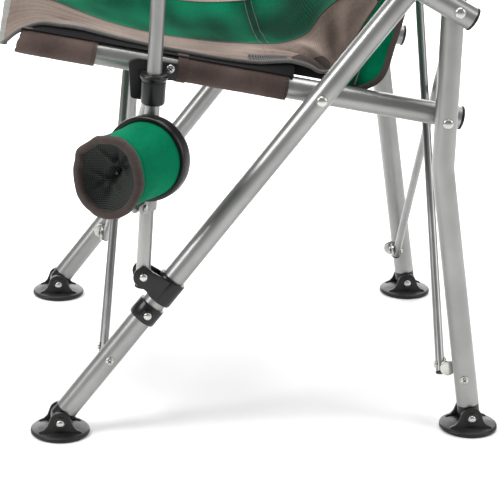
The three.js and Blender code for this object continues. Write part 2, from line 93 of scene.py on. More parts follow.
@dataclass(frozen=True)
class Layout:
    """Where the frame's axes and pivots lie, in the makers' millimetres before centring."""

    leg_x: float = 219.0
    rail_x: float = 192.0
    arm_x: float = 246.0
    post_x: float = 223.0
    leg_angle: float = 53.0
    rail_angle: float = -10.0
    back_angle: float = 75.0
    rear_lean: float = 99.3
    post_angle: float = 87.7
    tube_r: float = 12.5
    post_r: float = 8.0
    rod_r: float = 5.0
    back_height: float = 950.0
    bend_height: float = 640.0
    front_pin: tuple = (-231.5, 18.0)
    rear_pin: tuple = (231.5, 18.0)
    arm_pivot: tuple = (183.5, 489.5)
    arm_bend: tuple = (20.0, 581.0)
    rear_clevis: tuple = (207.0, 67.0)
    rail_pivot_at: float = 461.0
    rail_rear: float = -160.0
    rail_front: float = 318.0
    rear_pivot_at: float = -140.0
    slider_at: tuple = (191.0, 31.0)
    arm_front_height: float = 600.0
    rod_aside: float = 6.8

    def on_leg(self, along: float, off: float = 0.0) -> Array:
        """Point on the front leg, from its foot pin."""
        return step(self.front_pin, self.leg_angle, along, off)

    def leg_at(self, height: float) -> Array:
        """Point on the front leg at a height."""
        return self.on_leg((height - self.front_pin[1]) / heading(self.leg_angle)[1])

    @property
    def rail_pivot(self) -> Array:
        """Where the rail turns on the leg."""
        return self.on_leg(self.rail_pivot_at)

    def on_rail(self, forward: float, off: float = 0.0) -> Array:
        """Point on the seat rail, forward of its pivot and above its axis."""
        return step(self.rail_pivot, self.rail_angle, -forward, off)

    @property
    def post_pivot(self) -> Array:
        """Lower end of the front post, on the slider."""
        return self.on_leg(*self.slider_at)

    def on_post(self, along: float) -> Array:
        """Point on the front post, from its lower pivot."""
        return step(self.post_pivot, self.post_angle, along)

    @property
    def post_length(self) -> float:
        """Distance between the post's two pivots."""
        return (self.arm_front_height - self.post_pivot[1]) / heading(self.post_angle)[1]

    @property
    def upright_top(self) -> Array:
        """Top end of the back upright."""
        knee = self.leg_at(self.bend_height)
        run = heading(self.back_angle)
        return knee + run * (self.back_height - knee[1]) / run[1]


LAY = Layout()


def centre_shift() -> Array:
    """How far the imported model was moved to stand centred, from one foot's packed box."""
    low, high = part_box("front_foot_left")
    middle = (np.array(low) + np.array(high)) / 2 / MM
    return np.array([middle[0] - LAY.leg_x, middle[1] - LAY.front_pin[0], 0.0])


SHIFT = centre_shift()


def lift(x: float, point: Sequence[float]) -> Array:
    """Side-view point placed across the chair at x."""
    return np.array([x, point[0], point[1]], float)


def rounded(points: Sequence[Sequence[float]], radius: float, steps: int = 12) -> Array:
    """Line through the points with each corner replaced by a quadratic curve.

    Args:
        points: Corners of the line, any dimension.
        radius: Radius of the bend at each corner.
        steps: Spans in each bend.

    Returns:
        Points of the smoothed line.
    """
    pts = [np.asarray(p, float) for p in points]
    out = [pts[0][None]]
    for before, here, after in zip(pts[:-2], pts[1:-1], pts[2:]):
        back = (before - here) / np.linalg.norm(before - here)
        ahead = (after - here) / np.linalg.norm(after - here)
        half = math.acos(float(np.clip(back @ ahead, -1, 1))) / 2
        cut = min(radius / math.tan(half), np.linalg.norm(before - here) * 0.48, np.linalg.norm(after - here) * 0.48)
        t = np.linspace(0, 1, steps + 1)[:, None]
        out.append((1 - t) ** 2 * (here + back * cut) + 2 * t * (1 - t) * here + t**2 * (here + ahead * cut))
    out.append(pts[-1][None])
    return np.vstack(out)


def through(points: Sequence[Sequence[float]], count: int) -> Array:
    """Points on a cubic Hermite line whose tangents are half the gap between neighbouring controls.

    Args:
        points: Points of the line.
        count: How many to return.

    Returns:
        The points along the line.
    """
    pts = np.asarray(points, float)
    tangent = np.gradient(pts, axis=0)
    spans = len(pts) - 1
    u = np.linspace(0, spans, count)
    k = np.minimum(u.astype(int), spans - 1)
    t = (u - k)[:, None]
    a, b, ta, tb = pts[k], pts[k + 1], tangent[k], tangent[k + 1]
    start = (2 * t**3 - 3 * t**2 + 1) * a + (t**3 - 2 * t**2 + t) * ta
    return start + (-2 * t**3 + 3 * t**2) * b + (t**3 - t**2) * tb


def smooth_line(points: Sequence[Sequence[float]], count: int) -> Array:
    """Evenly spaced points on the cubic through the given ones."""
    fine = through(points, count * 4)
    run = np.concatenate([[0], np.cumsum(np.linalg.norm(np.diff(fine, axis=0), axis=1))])
    want = np.linspace(0, run[-1], count)
    return np.stack([np.interp(want, run, fine[:, i]) for i in range(fine.shape[1])], axis=1)


# ---------------------------------------------------------------- surfaces


@dataclass
class Skin:
    """A bare mesh: vertices in millimetres, faces, and a UV pair in metres for each vertex."""

    verts: Array
    faces: list
    uv: Array
    tone: Array

    @staticmethod
    def of(verts: Array, faces: list, uv: Optional[Array] = None, tone: Optional[Array] = None) -> "Skin":
        """Fills in missing UVs and tones with zeros."""
        n = len(verts)
        return Skin(verts, faces, np.zeros((n, 2)) if uv is None else uv, np.zeros(n) if tone is None else tone)

    def moved(self, how: Callable[[Array], Array]) -> "Skin":
        """The same skin with its vertices passed through a function."""
        return Skin(how(self.verts), self.faces, self.uv, self.tone)

    def mirrored(self) -> "Skin":
        """The same skin on the other side of the chair, still facing out."""
        return Skin(self.verts * [-1, 1, 1], [f[::-1] for f in self.faces], self.uv, self.tone)


def joined(skins: Sequence[Skin]) -> Skin:
    """Several skins as one.

    Args:
        skins: Skins to join.

    Returns:
        One skin that holds them all.
    """
    verts, faces, start = [], [], 0
    for skin in skins:
        verts.append(skin.verts)
        faces += [[i + start for i in f] for f in skin.faces]
        start += len(skin.verts)
    return Skin(np.vstack(verts), faces, np.vstack([s.uv for s in skins]), np.concatenate([s.tone for s in skins]))


def grid_faces(rows: int, cols: int, wrap_rows: bool = False, wrap_cols: bool = False) -> list:
    """Quads of a grid of rows by cols points, wrapped where a direction closes on itself.

    Args:
        rows: Rows of the grid.
        cols: Columns of the grid.
        wrap_rows: Whether the last row joins the first.
        wrap_cols: Whether the last column joins the first.

    Returns:
        Faces as index lists.
    """
    r = np.arange(rows if wrap_rows else rows - 1)
    c = np.arange(cols if wrap_cols else cols - 1)
    rr, cc = np.meshgrid(r, c, indexing="ij")
    r1, c1 = (rr + 1) % rows, (cc + 1) % cols
    quads = np.stack([rr * cols + cc, rr * cols + c1, r1 * cols + c1, r1 * cols + cc], axis=-1)
    return quads.reshape(-1, 4).tolist()


def volume(verts: Array, faces: list) -> float:
    """Signed volume of a closed skin: a sixth of the sum of corner triple products."""
    total = 0.0
    for f in faces:
        fan = verts[np.array(f)]
        total += float(np.einsum("ij,ij->i", np.cross(fan[1:-1], fan[2:]), np.repeat(fan[:1], len(f) - 2, 0)).sum())
    return total / 6


def outward(skin: Skin) -> Skin:
    """Turns a closed skin the right way out."""
    if volume(skin.verts, skin.faces) >= 0:
        return skin
    return Skin(skin.verts, [f[::-1] for f in skin.faces], skin.uv, skin.tone)


def carried(path: Array, profile: Array, up: Optional[Array] = None, closed: bool = False) -> Skin:
    """A closed profile carried along a path, with flat ends.

    Each ring is the path point plus the profile's two coordinates times the side and up vectors there.

    Args:
        path: N points in space.
        profile: M points (side, up), or N by M points where it changes along the path.
        up: Up vector for every point; by default it is carried without twist.
        closed: Whether the path joins itself.

    Returns:
        The skin, with U along the path and V round the profile, in metres.
    """
    n = len(path)
    ahead = np.roll(path, -1, 0) - np.roll(path, 1, 0) if closed else np.gradient(path, axis=0)
    ahead = ahead / np.linalg.norm(ahead, axis=1, keepdims=True)
    if up is None:
        guess = np.array([1.0, 0, 0]) if abs(ahead[0][0]) < 0.9 else np.array([0, 0, 1.0])
        ups = [guess - ahead[0] * (guess @ ahead[0])]
        for a in ahead[1:]:
            ups.append(ups[-1] - a * (ups[-1] @ a))
        up = np.array(ups)
    up = np.broadcast_to(up, path.shape)
    up = up - ahead * np.einsum("ij,ij->i", up, ahead)[:, None]
    up = up / np.linalg.norm(up, axis=1, keepdims=True)
    side = np.cross(ahead, up)
    prof = np.broadcast_to(profile, (n,) + np.shape(profile)[-2:])
    m = prof.shape[1]
    verts = path[:, None] + side[:, None] * prof[:, :, :1] + up[:, None] * prof[:, :, 1:]
    faces = grid_faces(n, m, wrap_rows=closed, wrap_cols=True)
    if not closed:
        faces += [list(range(m))[::-1], [(n - 1) * m + k for k in range(m)]]
    run = np.concatenate([[0], np.cumsum(np.linalg.norm(np.diff(path, axis=0), axis=1))])
    loop = np.concatenate([[0], np.cumsum(np.linalg.norm(np.diff(prof[0], axis=0), axis=1))])
    uv = np.stack(np.meshgrid(run, loop, indexing="ij"), -1).reshape(-1, 2) * MM
    return outward(Skin.of(verts.reshape(-1, 3), faces, uv))


def ring(radius: float, sides: int = 40, squash: float = 1.0) -> Array:
    """A circle as a profile, optionally flattened."""
    t = np.linspace(0, 2 * np.pi, sides, endpoint=False)
    return np.stack([np.cos(t), np.sin(t) * squash], 1) * radius


def pill(width: float, height: float, sides: int = 20, power: float = 4.0) -> Array:
    """A rounded box as a profile: the superellipse |x/w|^p + |y/h|^p = 1."""
    t = np.linspace(0, 2 * np.pi, sides, endpoint=False)
    c, s = np.cos(t), np.sin(t)
    reach = (np.abs(c) ** power + np.abs(s) ** power) ** (-1 / power)
    return np.stack([c * reach * width / 2, s * reach * height / 2], 1)


def turned(profile: Sequence[Sequence[float]], origin: Array, axis: Array, sides: int = 48) -> Skin:
    """A profile of (radius, distance along the axis) spun about an axis, starting and ending on it.

    Args:
        profile: Points of radius and height along the axis.
        origin: Point the heights are measured from.
        axis: Unit direction of the axis.
        sides: Spans round the axis.

    Returns:
        The closed surface of revolution.
    """
    prof = np.asarray(profile, float)
    axis = np.asarray(axis, float) / np.linalg.norm(axis)
    guess = np.array([0, 0, 1.0]) if abs(axis[2]) < 0.9 else np.array([0, 1.0, 0])
    a = np.cross(guess, axis)
    a /= np.linalg.norm(a)
    b = np.cross(axis, a)
    t = np.linspace(0, 2 * np.pi, sides, endpoint=False)
    spin = np.cos(t)[:, None] * a + np.sin(t)[:, None] * b
    shut = prof[0][0] > 1e-6
    body = prof if shut else prof[1:-1]
    verts = origin + body[:, None, 1:] * axis + body[:, None, :1] * spin
    n = len(body)
    faces = grid_faces(n, sides, wrap_rows=shut, wrap_cols=True)
    flat = verts.reshape(-1, 3)
    if not shut:
        ends = np.array([origin + prof[0][1] * axis, origin + prof[-1][1] * axis])
        base = len(flat)
        flat = np.vstack([flat, ends])
        faces += [[base, (k + 1) % sides, k] for k in range(sides)]
        faces += [[base + 1, (n - 1) * sides + k, (n - 1) * sides + (k + 1) % sides] for k in range(sides)]
    uv = np.stack([np.linalg.norm(flat - origin, axis=1), flat @ axis], 1) * MM
    return outward(Skin.of(flat, faces, uv))


def soft_profile(points: Sequence[Sequence[float]], bevel: float = 1.0) -> list:
    """A turned profile with every inner corner cut by a small bevel.

    Args:
        points: Points of the line.
        bevel: Size of the softened edge.

    Returns:
        Profile with each corner cut.
    """
    pts = [np.asarray(p, float) for p in points]
    out = [pts[0]]
    for a, b, c in zip(pts[:-2], pts[1:-1], pts[2:]):
        u, v = a - b, c - b
        cut = min(bevel, np.linalg.norm(u) / 2.2, np.linalg.norm(v) / 2.2)
        u, v = u / np.linalg.norm(u), v / np.linalg.norm(v)
        out += [b + u * cut, b + (u + v) * cut * 0.3, b + v * cut]
    out.append(pts[-1])
    return [p.tolist() for p in out]


def plate(outline: Array, x0: float, x1: float, bevel: float = 0.7) -> Skin:
    """A flat outline in the side view pushed across the chair from x0 to x1, edges rounded.

    The rings are the outline moved in along its corner normals by the bevel at both faces.

    Args:
        outline: Side-view corners in order.
        x0: Lower end on X.
        x1: Upper end on X.
        bevel: Size of the softened edge.

    Returns:
        The closed plate.
    """
    pts = np.asarray(outline, float)
    edge = np.roll(pts, -1, 0) - pts
    area = 0.5 * float(np.sum(pts[:, 0] * np.roll(pts[:, 1], -1) - np.roll(pts[:, 0], -1) * pts[:, 1]))
    if area < 0:
        pts = pts[::-1]
        edge = np.roll(pts, -1, 0) - pts
    edge = edge / np.maximum(np.linalg.norm(edge, axis=1, keepdims=True), 1e-9)
    normal = np.stack([edge[:, 1], -edge[:, 0]], 1)
    corner = normal + np.roll(normal, 1, 0)
    corner /= np.maximum(np.linalg.norm(corner, axis=1, keepdims=True), 0.4)
    b = min(bevel, (x1 - x0) / 2.5)
    layers = [(x0, b), (x0 + b * 0.3, b * 0.3), (x0 + b, 0.0), (x1 - b, 0.0), (x1 - b * 0.3, b * 0.3), (x1, b)]
    rows = [np.column_stack([np.full(len(pts), x), pts - corner * inset]) for x, inset in layers]
    verts = np.vstack(rows)
    m = len(pts)
    faces = grid_faces(len(layers), m, wrap_cols=True)
    faces += [list(range(m))[::-1], [(len(layers) - 1) * m + k for k in range(m)]]
    return outward(Skin.of(verts, faces))


def rounded_outline(points: Sequence[Sequence[float]], radius: float, steps: int = 5) -> Array:
    """A closed outline with each corner turned into an arc-like curve.

    Args:
        points: Points of the line.
        radius: Radius of each corner.
        steps: Spans in each corner.

    Returns:
        Outline with round corners.
    """
    pts = [np.asarray(p, float) for p in points]
    out = []
    for i, here in enumerate(pts):
        before, after = pts[i - 1], pts[(i + 1) % len(pts)]
        u, v = before - here, after - here
        cut = min(radius, np.linalg.norm(u) / 2.1, np.linalg.norm(v) / 2.1)
        a, c = here + u / np.linalg.norm(u) * cut, here + v / np.linalg.norm(v) * cut
        t = np.linspace(0, 1, steps + 1)[:, None]
        out.append((1 - t) ** 2 * a + 2 * t * (1 - t) * here + t**2 * c)
    return np.vstack(out)


def cloth(surface: Array, thickness: float, uv: Array, tone: Optional[Array] = None) -> Skin:
    """A sheet with real thickness from a grid of points.

    Both faces are the grid moved half the thickness along its normal, joined round the border.

    Args:
        surface: Grid of points along the middle of the cloth.
        thickness: Thickness of the cloth.
        uv: Flat place of each grid point, in metres.
        tone: Shade of each grid point, 0 to 1.

    Returns:
        The closed sheet with its two faces.
    """
    rows, cols = surface.shape[:2]
    du, dv = np.gradient(surface, axis=0), np.gradient(surface, axis=1)
    normal = np.cross(du, dv)
    normal /= np.maximum(np.linalg.norm(normal, axis=-1, keepdims=True), 1e-9)
    top = (surface + normal * thickness / 2).reshape(-1, 3)
    low = (surface - normal * thickness / 2).reshape(-1, 3)
    n = rows * cols
    quads = grid_faces(rows, cols)
    faces = quads + [[i + n for i in f[::-1]] for f in quads]
    rim = list(range(cols)) + [r * cols + cols - 1 for r in range(1, rows)]
    rim += [(rows - 1) * cols + c for c in range(cols - 2, -1, -1)] + [r * cols for r in range(rows - 2, 0, -1)]
    faces += [[b, a, a + n, b + n] for a, b in zip(rim, rim[1:] + rim[:1])]
    flat_uv = np.vstack([uv.reshape(-1, 2)] * 2)
    flat_tone = None if tone is None else np.concatenate([tone.ravel()] * 2)
    return outward(Skin.of(np.vstack([top, low]), faces, flat_uv, flat_tone))


def ripple(a: Array, b: Array, seed: int, scale: float, count: int = 26) -> Array:
    """Smooth seeded noise in about -1..1: a sum of sine waves of random heading, pitch and phase.

    Args:
        a: Place along the first direction.
        b: Place along the second direction.
        seed: Number that picks the pattern.
        scale: Length of a typical wave.
        count: How many waves are added.

    Returns:
        Height of the waves.
    """
    rng = np.random.default_rng(seed)
    out = np.zeros(np.broadcast_shapes(np.shape(a), np.shape(b)))
    for _ in range(count):
        turn, pitch, phase = rng.uniform(0, np.pi), rng.uniform(0.6, 1.8), rng.uniform(0, 2 * np.pi)
        out += np.sin((a * np.cos(turn) + b * np.sin(turn)) * pitch * 2 * np.pi / scale + phase)
    return out / math.sqrt(count)


def crease(a: Array, b: Array, start: Sequence[float], end: Sequence[float], width: float) -> Array:
    """A long soft fold from start to end: a bell across the line, dying away at both ends.

    Args:
        a: Place along the first direction.
        b: Place along the second direction.
        start: Where the fold starts.
        end: Where the fold ends.
        width: Width of the bell across the fold.

    Returns:
        Height of the fold, 0 to 1.
    """
    p, q = np.asarray(start, float), np.asarray(end, float)
    run = q - p
    length = float(np.linalg.norm(run))
    run = run / length
    along = (a - p[0]) * run[0] + (b - p[1]) * run[1]
    off = (a - p[0]) * -run[1] + (b - p[1]) * run[0]
    fade = np.clip(along / length, 0, 1)
    shape = np.sin(np.pi * fade) * np.exp(-((off / (width * (0.4 + fade))) ** 2))
    return np.where((along > 0) & (along < length), shape, 0)


# ---------------------------------------------------------------- finishes


class Shader:
    """Small helper that adds nodes to a new material."""

    def __init__(self, name: str) -> None:
        self.material = bpy.data.materials.new(name)
        self.material.use_nodes = True
        self.tree = self.material.node_tree
        self.bsdf = self.tree.nodes["Principled BSDF"]

    def node(self, kind: str, settings: Optional[dict] = None, **inputs: object) -> bpy.types.Node:
        """Adds a node, sets its properties and inputs; a socket given as an input is linked.

        Args:
            kind: Type name of the node.
            settings: Properties of the node.
            inputs: Input values by socket name, spaces written as underscores.

        Returns:
            The new node.
        """
        made = self.tree.nodes.new(kind)
        for key, value in (settings or {}).items():
            setattr(made, key, value)
        for key, value in inputs.items():
            socket = made.inputs[int(key[1:])] if key[0] == "_" else made.inputs[key.replace("_", " ")]
            self.feed(socket, value)
        return made

    def feed(self, socket: bpy.types.NodeSocket, value: object) -> None:
        """Links a socket or sets its value."""
        if isinstance(value, bpy.types.NodeSocket):
            self.tree.links.new(value, socket)
        else:
            socket.default_value = value

    def math(self, operation: str, a: object, b: object = 0.0) -> bpy.types.NodeSocket:
        """A Math node's result."""
        return self.node("ShaderNodeMath", {"operation": operation}, _0=a, _1=b).outputs[0]

    def place(self, source: str = "Object") -> bpy.types.NodeSocket:
        """Texture coordinates of one kind."""
        return self.node("ShaderNodeTexCoord").outputs[source]

    def noise(self, where: object, scale: float, detail: float = 3.0, rough: float = 0.5) -> bpy.types.NodeSocket:
        """Noise value at a coordinate."""
        return self.node("ShaderNodeTexNoise", None, Vector=where, Scale=scale, Detail=detail,
                         Roughness=rough).outputs[0]

    def ramp(self, value: object, low: float, high: float) -> bpy.types.NodeSocket:
        """Value mapped linearly from low..high to 0..1 and clamped."""
        return self.node("ShaderNodeMapRange", {"clamp": True}, Value=value, From_Min=low, From_Max=high).outputs[0]

    def blend(self, amount: object, a: tuple, b: object) -> bpy.types.NodeSocket:
        """Colour between a and b.

        Args:
            amount: Share of the second value.
            a: Colour at no share.
            b: Colour at full share.

        Returns:
            The blended colour.
        """
        made = self.tree.nodes.new("ShaderNodeMix")
        made.data_type = "RGBA"
        self.feed(made.inputs["Factor"], amount)
        for socket, value in ((made.inputs[6], a), (made.inputs[7], b)):
            self.feed(socket, (*value, 1.0) if isinstance(value, tuple) and len(value) == 3 else value)
        return made.outputs[2]

    def bump(self, height: object, strength: float, distance: float) -> None:
        """Drives the surface normal from a height."""
        made = self.node("ShaderNodeBump", None, Height=height, Strength=strength, Distance=distance)
        self.tree.links.new(made.outputs[0], self.bsdf.inputs["Normal"])

    def set(self, **values: object) -> None:
        """Sets or links inputs of the surface shader."""
        for key, value in values.items():
            self.feed(self.bsdf.inputs[key.replace("_", " ")], value)


@dataclass(frozen=True)
class Metal:
    """Tube or hardware metal with fine scuffs and a slight mottling.

    The colour runs between two tones by a broad noise; roughness by a finer one.
    """

    name: str
    light: tuple
    dark: tuple
    rough: tuple = (0.28, 0.42)
    metallic: float = 0.85
    grain: float = 900.0
    depth: float = 0.00002
    coat: float = 0.0

    def build(self) -> bpy.types.Material:
        """Makes the material.

        Returns:
            The material.
        """
        s = Shader(self.name)
        at = s.place()
        broad = s.ramp(s.noise(at, 14.0), 0.35, 0.65)
        fine = s.noise(at, self.grain, 2.0)
        scuff = s.ramp(s.noise(at, 120.0, 5.0, 0.7), 0.62, 0.75)
        tint = s.blend(broad, self.dark, self.light)
        made = s.tree.nodes.new("ShaderNodeMix")
        made.data_type = "RGBA"
        s.feed(made.inputs["Factor"], s.math("MULTIPLY", scuff, 0.22))
        s.feed(made.inputs[6], tint)
        s.feed(made.inputs[7], (*(0.7 * c for c in self.dark), 1.0))
        span = self.rough[1] - self.rough[0]
        s.set(Base_Color=made.outputs[2], Metallic=self.metallic, Coat_Weight=self.coat)
        s.set(Roughness=s.math("ADD", s.math("MULTIPLY", s.noise(at, 60.0), span), self.rough[0]))
        s.bump(fine, 0.25, self.depth)
        return s.material


@dataclass(frozen=True)
class Moulded:
    """Moulded plastic with a fine spark texture and faint dust on it."""

    name: str
    colour: tuple
    dust: tuple
    rough: float = 0.42
    grain: float = 1400.0
    depth: float = 0.00006

    def build(self) -> bpy.types.Material:
        """Makes the material.

        Returns:
            The material.
        """
        s = Shader(self.name)
        at = s.place()
        haze = s.ramp(s.noise(at, 38.0, 5.0, 0.6), 0.48, 0.8)
        s.set(Base_Color=s.blend(s.math("MULTIPLY", haze, 0.5), self.colour, self.dust), Specular_IOR_Level=0.35)
        s.set(Roughness=s.math("ADD", s.math("MULTIPLY", haze, 0.2), self.rough))
        s.bump(s.noise(at, self.grain, 2.0), 0.35, self.depth)
        return s.material


@dataclass(frozen=True)
class Woven:
    """Plain-woven polyester: warp and weft ridges on the UV map, slub and fading by noise.

    Height is |sin| of U times |sin| of V at the thread pitch; the tone attribute darkens seams and hems, and carries
    painted shade in fold valleys, towards the rear of the seat and into the corner gussets.
    """

    name: str
    light: tuple
    dark: tuple
    pitch: float = 0.0011
    rough: float = 0.86
    sheen: float = 0.06
    gloss: float = 0.12
    depth: float = 0.00035
    ribs: float = 0.0
    mottle: float = 7.0

    def build(self) -> bpy.types.Material:
        """Makes the material.

        Returns:
            The material.
        """
        s = Shader(self.name)
        uv = s.place("UV")
        at = s.place()
        split = s.node("ShaderNodeSeparateXYZ", None, Vector=uv)
        turn = math.pi / self.pitch
        warp = s.math("ABSOLUTE", s.math("SINE", s.math("MULTIPLY", split.outputs[0], turn)))
        weft = s.math("ABSOLUTE", s.math("SINE", s.math("MULTIPLY", split.outputs[1], turn)))
        thread = s.math("MULTIPLY", warp, weft)
        slub = s.noise(at, 260.0, 4.0, 0.65)
        fade = s.ramp(s.noise(at, self.mottle, 3.0), 0.3, 0.7)
        level = s.math("ADD", s.math("MULTIPLY", thread, 0.35), s.math("MULTIPLY", fade, 0.35))
        level = s.math("ADD", level, s.math("MULTIPLY", slub, 0.35))
        # tone: darker seams and hems, plus painted shade in folds, at the seat's rear and in the gusset corners
        tone = s.node("ShaderNodeAttribute", {"attribute_name": "tone"}).outputs["Fac"]
        level = s.math("SUBTRACT", level, tone)
        s.set(Base_Color=s.blend(s.ramp(level, 0.05, 0.85), self.dark, self.light), Roughness=self.rough)
        s.set(Sheen_Weight=self.sheen, Sheen_Roughness=0.5, Specular_IOR_Level=self.gloss)
        height = s.math("ADD", thread, s.math("MULTIPLY", slub, 0.8))
        if self.ribs:
            rib = s.math("ABSOLUTE", s.math("SINE", s.math("MULTIPLY", split.outputs[0], math.pi / self.ribs)))
            height = s.math("ADD", height, s.math("MULTIPLY", rib, 1.5))
        s.bump(height, 0.55, self.depth)
        return s.material


@dataclass(frozen=True)
class Netting:
    """Knitted net: round holes on a staggered UV grid, painted darker than the yarn as the shade seen through the
    holes.
    """

    name: str
    yarn: tuple
    hole_shade: tuple
    pitch: float = 0.003

    def build(self) -> bpy.types.Material:
        """Makes the material.

        Returns:
            The material.
        """
        s = Shader(self.name)
        split = s.node("ShaderNodeSeparateXYZ", None, Vector=s.place("UV"))
        turn = 2 * math.pi / self.pitch
        a = s.math("SINE", s.math("MULTIPLY", s.math("ADD", split.outputs[0], split.outputs[1]), turn * 0.7))
        b = s.math("SINE", s.math("MULTIPLY", s.math("SUBTRACT", split.outputs[0], split.outputs[1]), turn * 0.7))
        cell = s.math("MULTIPLY", a, b)
        open_part = s.ramp(cell, 0.0, 0.35)
        s.set(Base_Color=s.blend(open_part, self.yarn, self.hole_shade), Roughness=0.7, Sheen_Weight=0.0,
              Specular_IOR_Level=0.15)
        s.bump(s.math("SUBTRACT", 1.0, open_part), 0.8, 0.0006)
        return s.material


@dataclass(frozen=True)
class Paper:
    """Plain pale backdrop with an even, very faint grain."""

    name: str
    colour: tuple

    def build(self) -> bpy.types.Material:
        """Makes the material."""
        s = Shader(self.name)
        grain = s.noise(s.place(), 3.0)
        s.set(Base_Color=s.blend(s.math("MULTIPLY", grain, 0.1), self.colour, tuple(0.97 * c for c in self.colour)))
        s.set(Roughness=0.9, Specular_IOR_Level=0.1)
        return s.material


class Finishes:
    """Every finish on the chair, made once and shared."""

    def __init__(self) -> None:
        self.tube = Metal("satin_tube", (0.33, 0.33, 0.325), (0.27, 0.27, 0.265), (0.30, 0.40), 0.8).build()
        self.rod = Metal("satin_rod", (0.33, 0.33, 0.325), (0.25, 0.25, 0.25), (0.30, 0.42), 0.8).build()
        self.zinc = Metal("zinc_steel", (0.56, 0.56, 0.52), (0.42, 0.43, 0.42), (0.20, 0.34), 1.0, 400.0).build()
        # The screw recess colour is painted shade: a dark cross stands where the recess would lie in shadow.
        self.recess = Metal("screw_recess", (0.12, 0.12, 0.12), (0.05, 0.05, 0.05), (0.4, 0.6), 0.6).build()
        self.black = Moulded("black_plastic", (0.006, 0.006, 0.006), (0.022, 0.021, 0.021)).build()
        self.gloss = Moulded("smooth_black", (0.005, 0.005, 0.005), (0.014, 0.013, 0.013), 0.3, 500.0,
                             0.00002).build()
        self.clamp = Moulded("grey_clamp", (0.30, 0.30, 0.30), (0.42, 0.42, 0.41), 0.35).build()
        self.green = Woven("green_cloth", (0.0, 0.135, 0.064), (0.0, 0.016, 0.009), sheen=0.0, gloss=0.02).build()
        self.green_cup = Woven("green_cup_cloth", (0.0, 0.235, 0.108), (0.0, 0.065, 0.032), sheen=0.0,
                               gloss=0.05).build()
        self.taupe = Woven("taupe_cloth", (0.235, 0.185, 0.158), (0.075, 0.056, 0.047), sheen=0.03,
                           gloss=0.06).build()
        self.brown = Woven("tunnel_cloth", (0.125, 0.088, 0.078), (0.04, 0.027, 0.024), mottle=12.0,
                           sheen=0.06).build()
        self.grey_tape = Woven("grey_tape", (0.30, 0.30, 0.28), (0.12, 0.12, 0.112), 0.0016, ribs=0.0022).build()
        self.edge_tape = Woven("edge_tape", (0.19, 0.185, 0.175), (0.06, 0.058, 0.055), 0.0014, ribs=0.0018).build()
        self.dark_tape = Woven("dark_tape", (0.085, 0.066, 0.060), (0.026, 0.020, 0.018), 0.0014, ribs=0.002).build()
        self.black_cloth = Woven("black_cloth", (0.014, 0.013, 0.013), (0.004, 0.004, 0.004), sheen=0.02).build()
        self.thread = Woven("stitch_thread", (0.20, 0.17, 0.14), (0.08, 0.07, 0.06), 0.0006).build()
        self.green_thread = Woven("green_thread", (0.0, 0.12, 0.07), (0.0, 0.04, 0.024), 0.0006).build()
        # The second colour of each net is painted shade in its holes.
        self.grey_net = Netting("grey_net", (0.11, 0.11, 0.105), (0.02, 0.02, 0.02), 0.002).build()
        self.net = Netting("cup_net", (0.055, 0.060, 0.056), (0.001, 0.008, 0.004), 0.0024).build()
        self.floor = Paper("pale_floor", (0.93, 0.93, 0.93)).build()


# ---------------------------------------------------------------- pieces


class Workshop:
    """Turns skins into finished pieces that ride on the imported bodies."""

    def __init__(self, finishes: Finishes) -> None:
        self.finishes = finishes
        self.count = 0

    def piece(
        self,
        name: str,
        skin: Skin,
        material: bpy.types.Material,
        slot: str,
        body: Optional[str],
        replaces: Sequence[str] = (),
        sharp: float = 40.0,
    ) -> bpy.types.Object:
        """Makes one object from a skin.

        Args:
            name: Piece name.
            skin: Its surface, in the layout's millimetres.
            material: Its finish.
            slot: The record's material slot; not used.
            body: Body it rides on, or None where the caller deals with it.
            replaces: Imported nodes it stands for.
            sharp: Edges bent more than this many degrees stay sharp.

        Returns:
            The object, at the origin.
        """
        mesh = bpy.data.meshes.new(name)
        mesh.from_pydata(((skin.verts + SHIFT) * MM).tolist(), [], skin.faces)
        mesh.validate()
        corners = np.zeros(len(mesh.loops), np.int32)
        mesh.loops.foreach_get("vertex_index", corners)
        layer = mesh.uv_layers.new(name="UVMap")
        layer.data.foreach_set("uv", skin.uv[corners].astype(np.float32).ravel())
        tone = mesh.attributes.new("tone", "FLOAT", "POINT")
        tone.data.foreach_set("value", skin.tone.astype(np.float32))
        mesh.polygons.foreach_set("use_smooth", np.ones(len(mesh.polygons), bool))
        mesh.set_sharp_from_angle(angle=math.radians(sharp))
        mesh.materials.append(material)
        made = bpy.data.objects.new(name, mesh)
        bpy.context.scene.collection.objects.link(made)
        if body:
            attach(made, body)
        if replaces:
            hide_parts(*replaces)
        self.count += 1
        LOG.info("%s: %d faces", name, len(mesh.polygons))
        return made

    def both(
        self,
        name: str,
        skin: Skin,
        material: bpy.types.Material,
        slot: str,
        body: str,
        node: str = "",
        sharp: float = 40.0,
    ) -> list:
        """Makes a piece on each side; body and node are given without their side word.

        Args:
            name: Name of the piece.
            skin: Surface of the left piece.
            material: Material it wears.
            slot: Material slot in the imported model.
            body: Moving body it rides on, without its side.
            node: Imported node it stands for, without its side.
            sharp: Angle in degrees above which an edge stays sharp.

        Returns:
            The left and right objects.
        """
        made = []
        for side in Side:
            shape = skin if side is Side.LEFT else skin.mirrored()
            nodes = [f"{node}_{side.word}"] if node else []
            made.append(self.piece(
                f"{name}_{side.word}", shape, material, slot, f"{side.word}_{body}", nodes, sharp))
        return made


def dome(point: Array, x: float, out: float, radius: float, height: float) -> Skin:
    """A domed rivet head standing off the plane x, in the direction of the sign out."""
    prof = [[0, -1.0], [radius * 0.5, -1.0], [radius, -1.0], [radius, 0.5]]
    t = np.linspace(0, np.pi / 2, 8)[1:]
    prof += [[radius * math.cos(a) * 0.98, 0.5 + (height - 0.5) * math.sin(a)] for a in t[:-1]]
    prof.append([0, height])
    return turned(prof, lift(x, point), np.array([out, 0, 0]), 32)


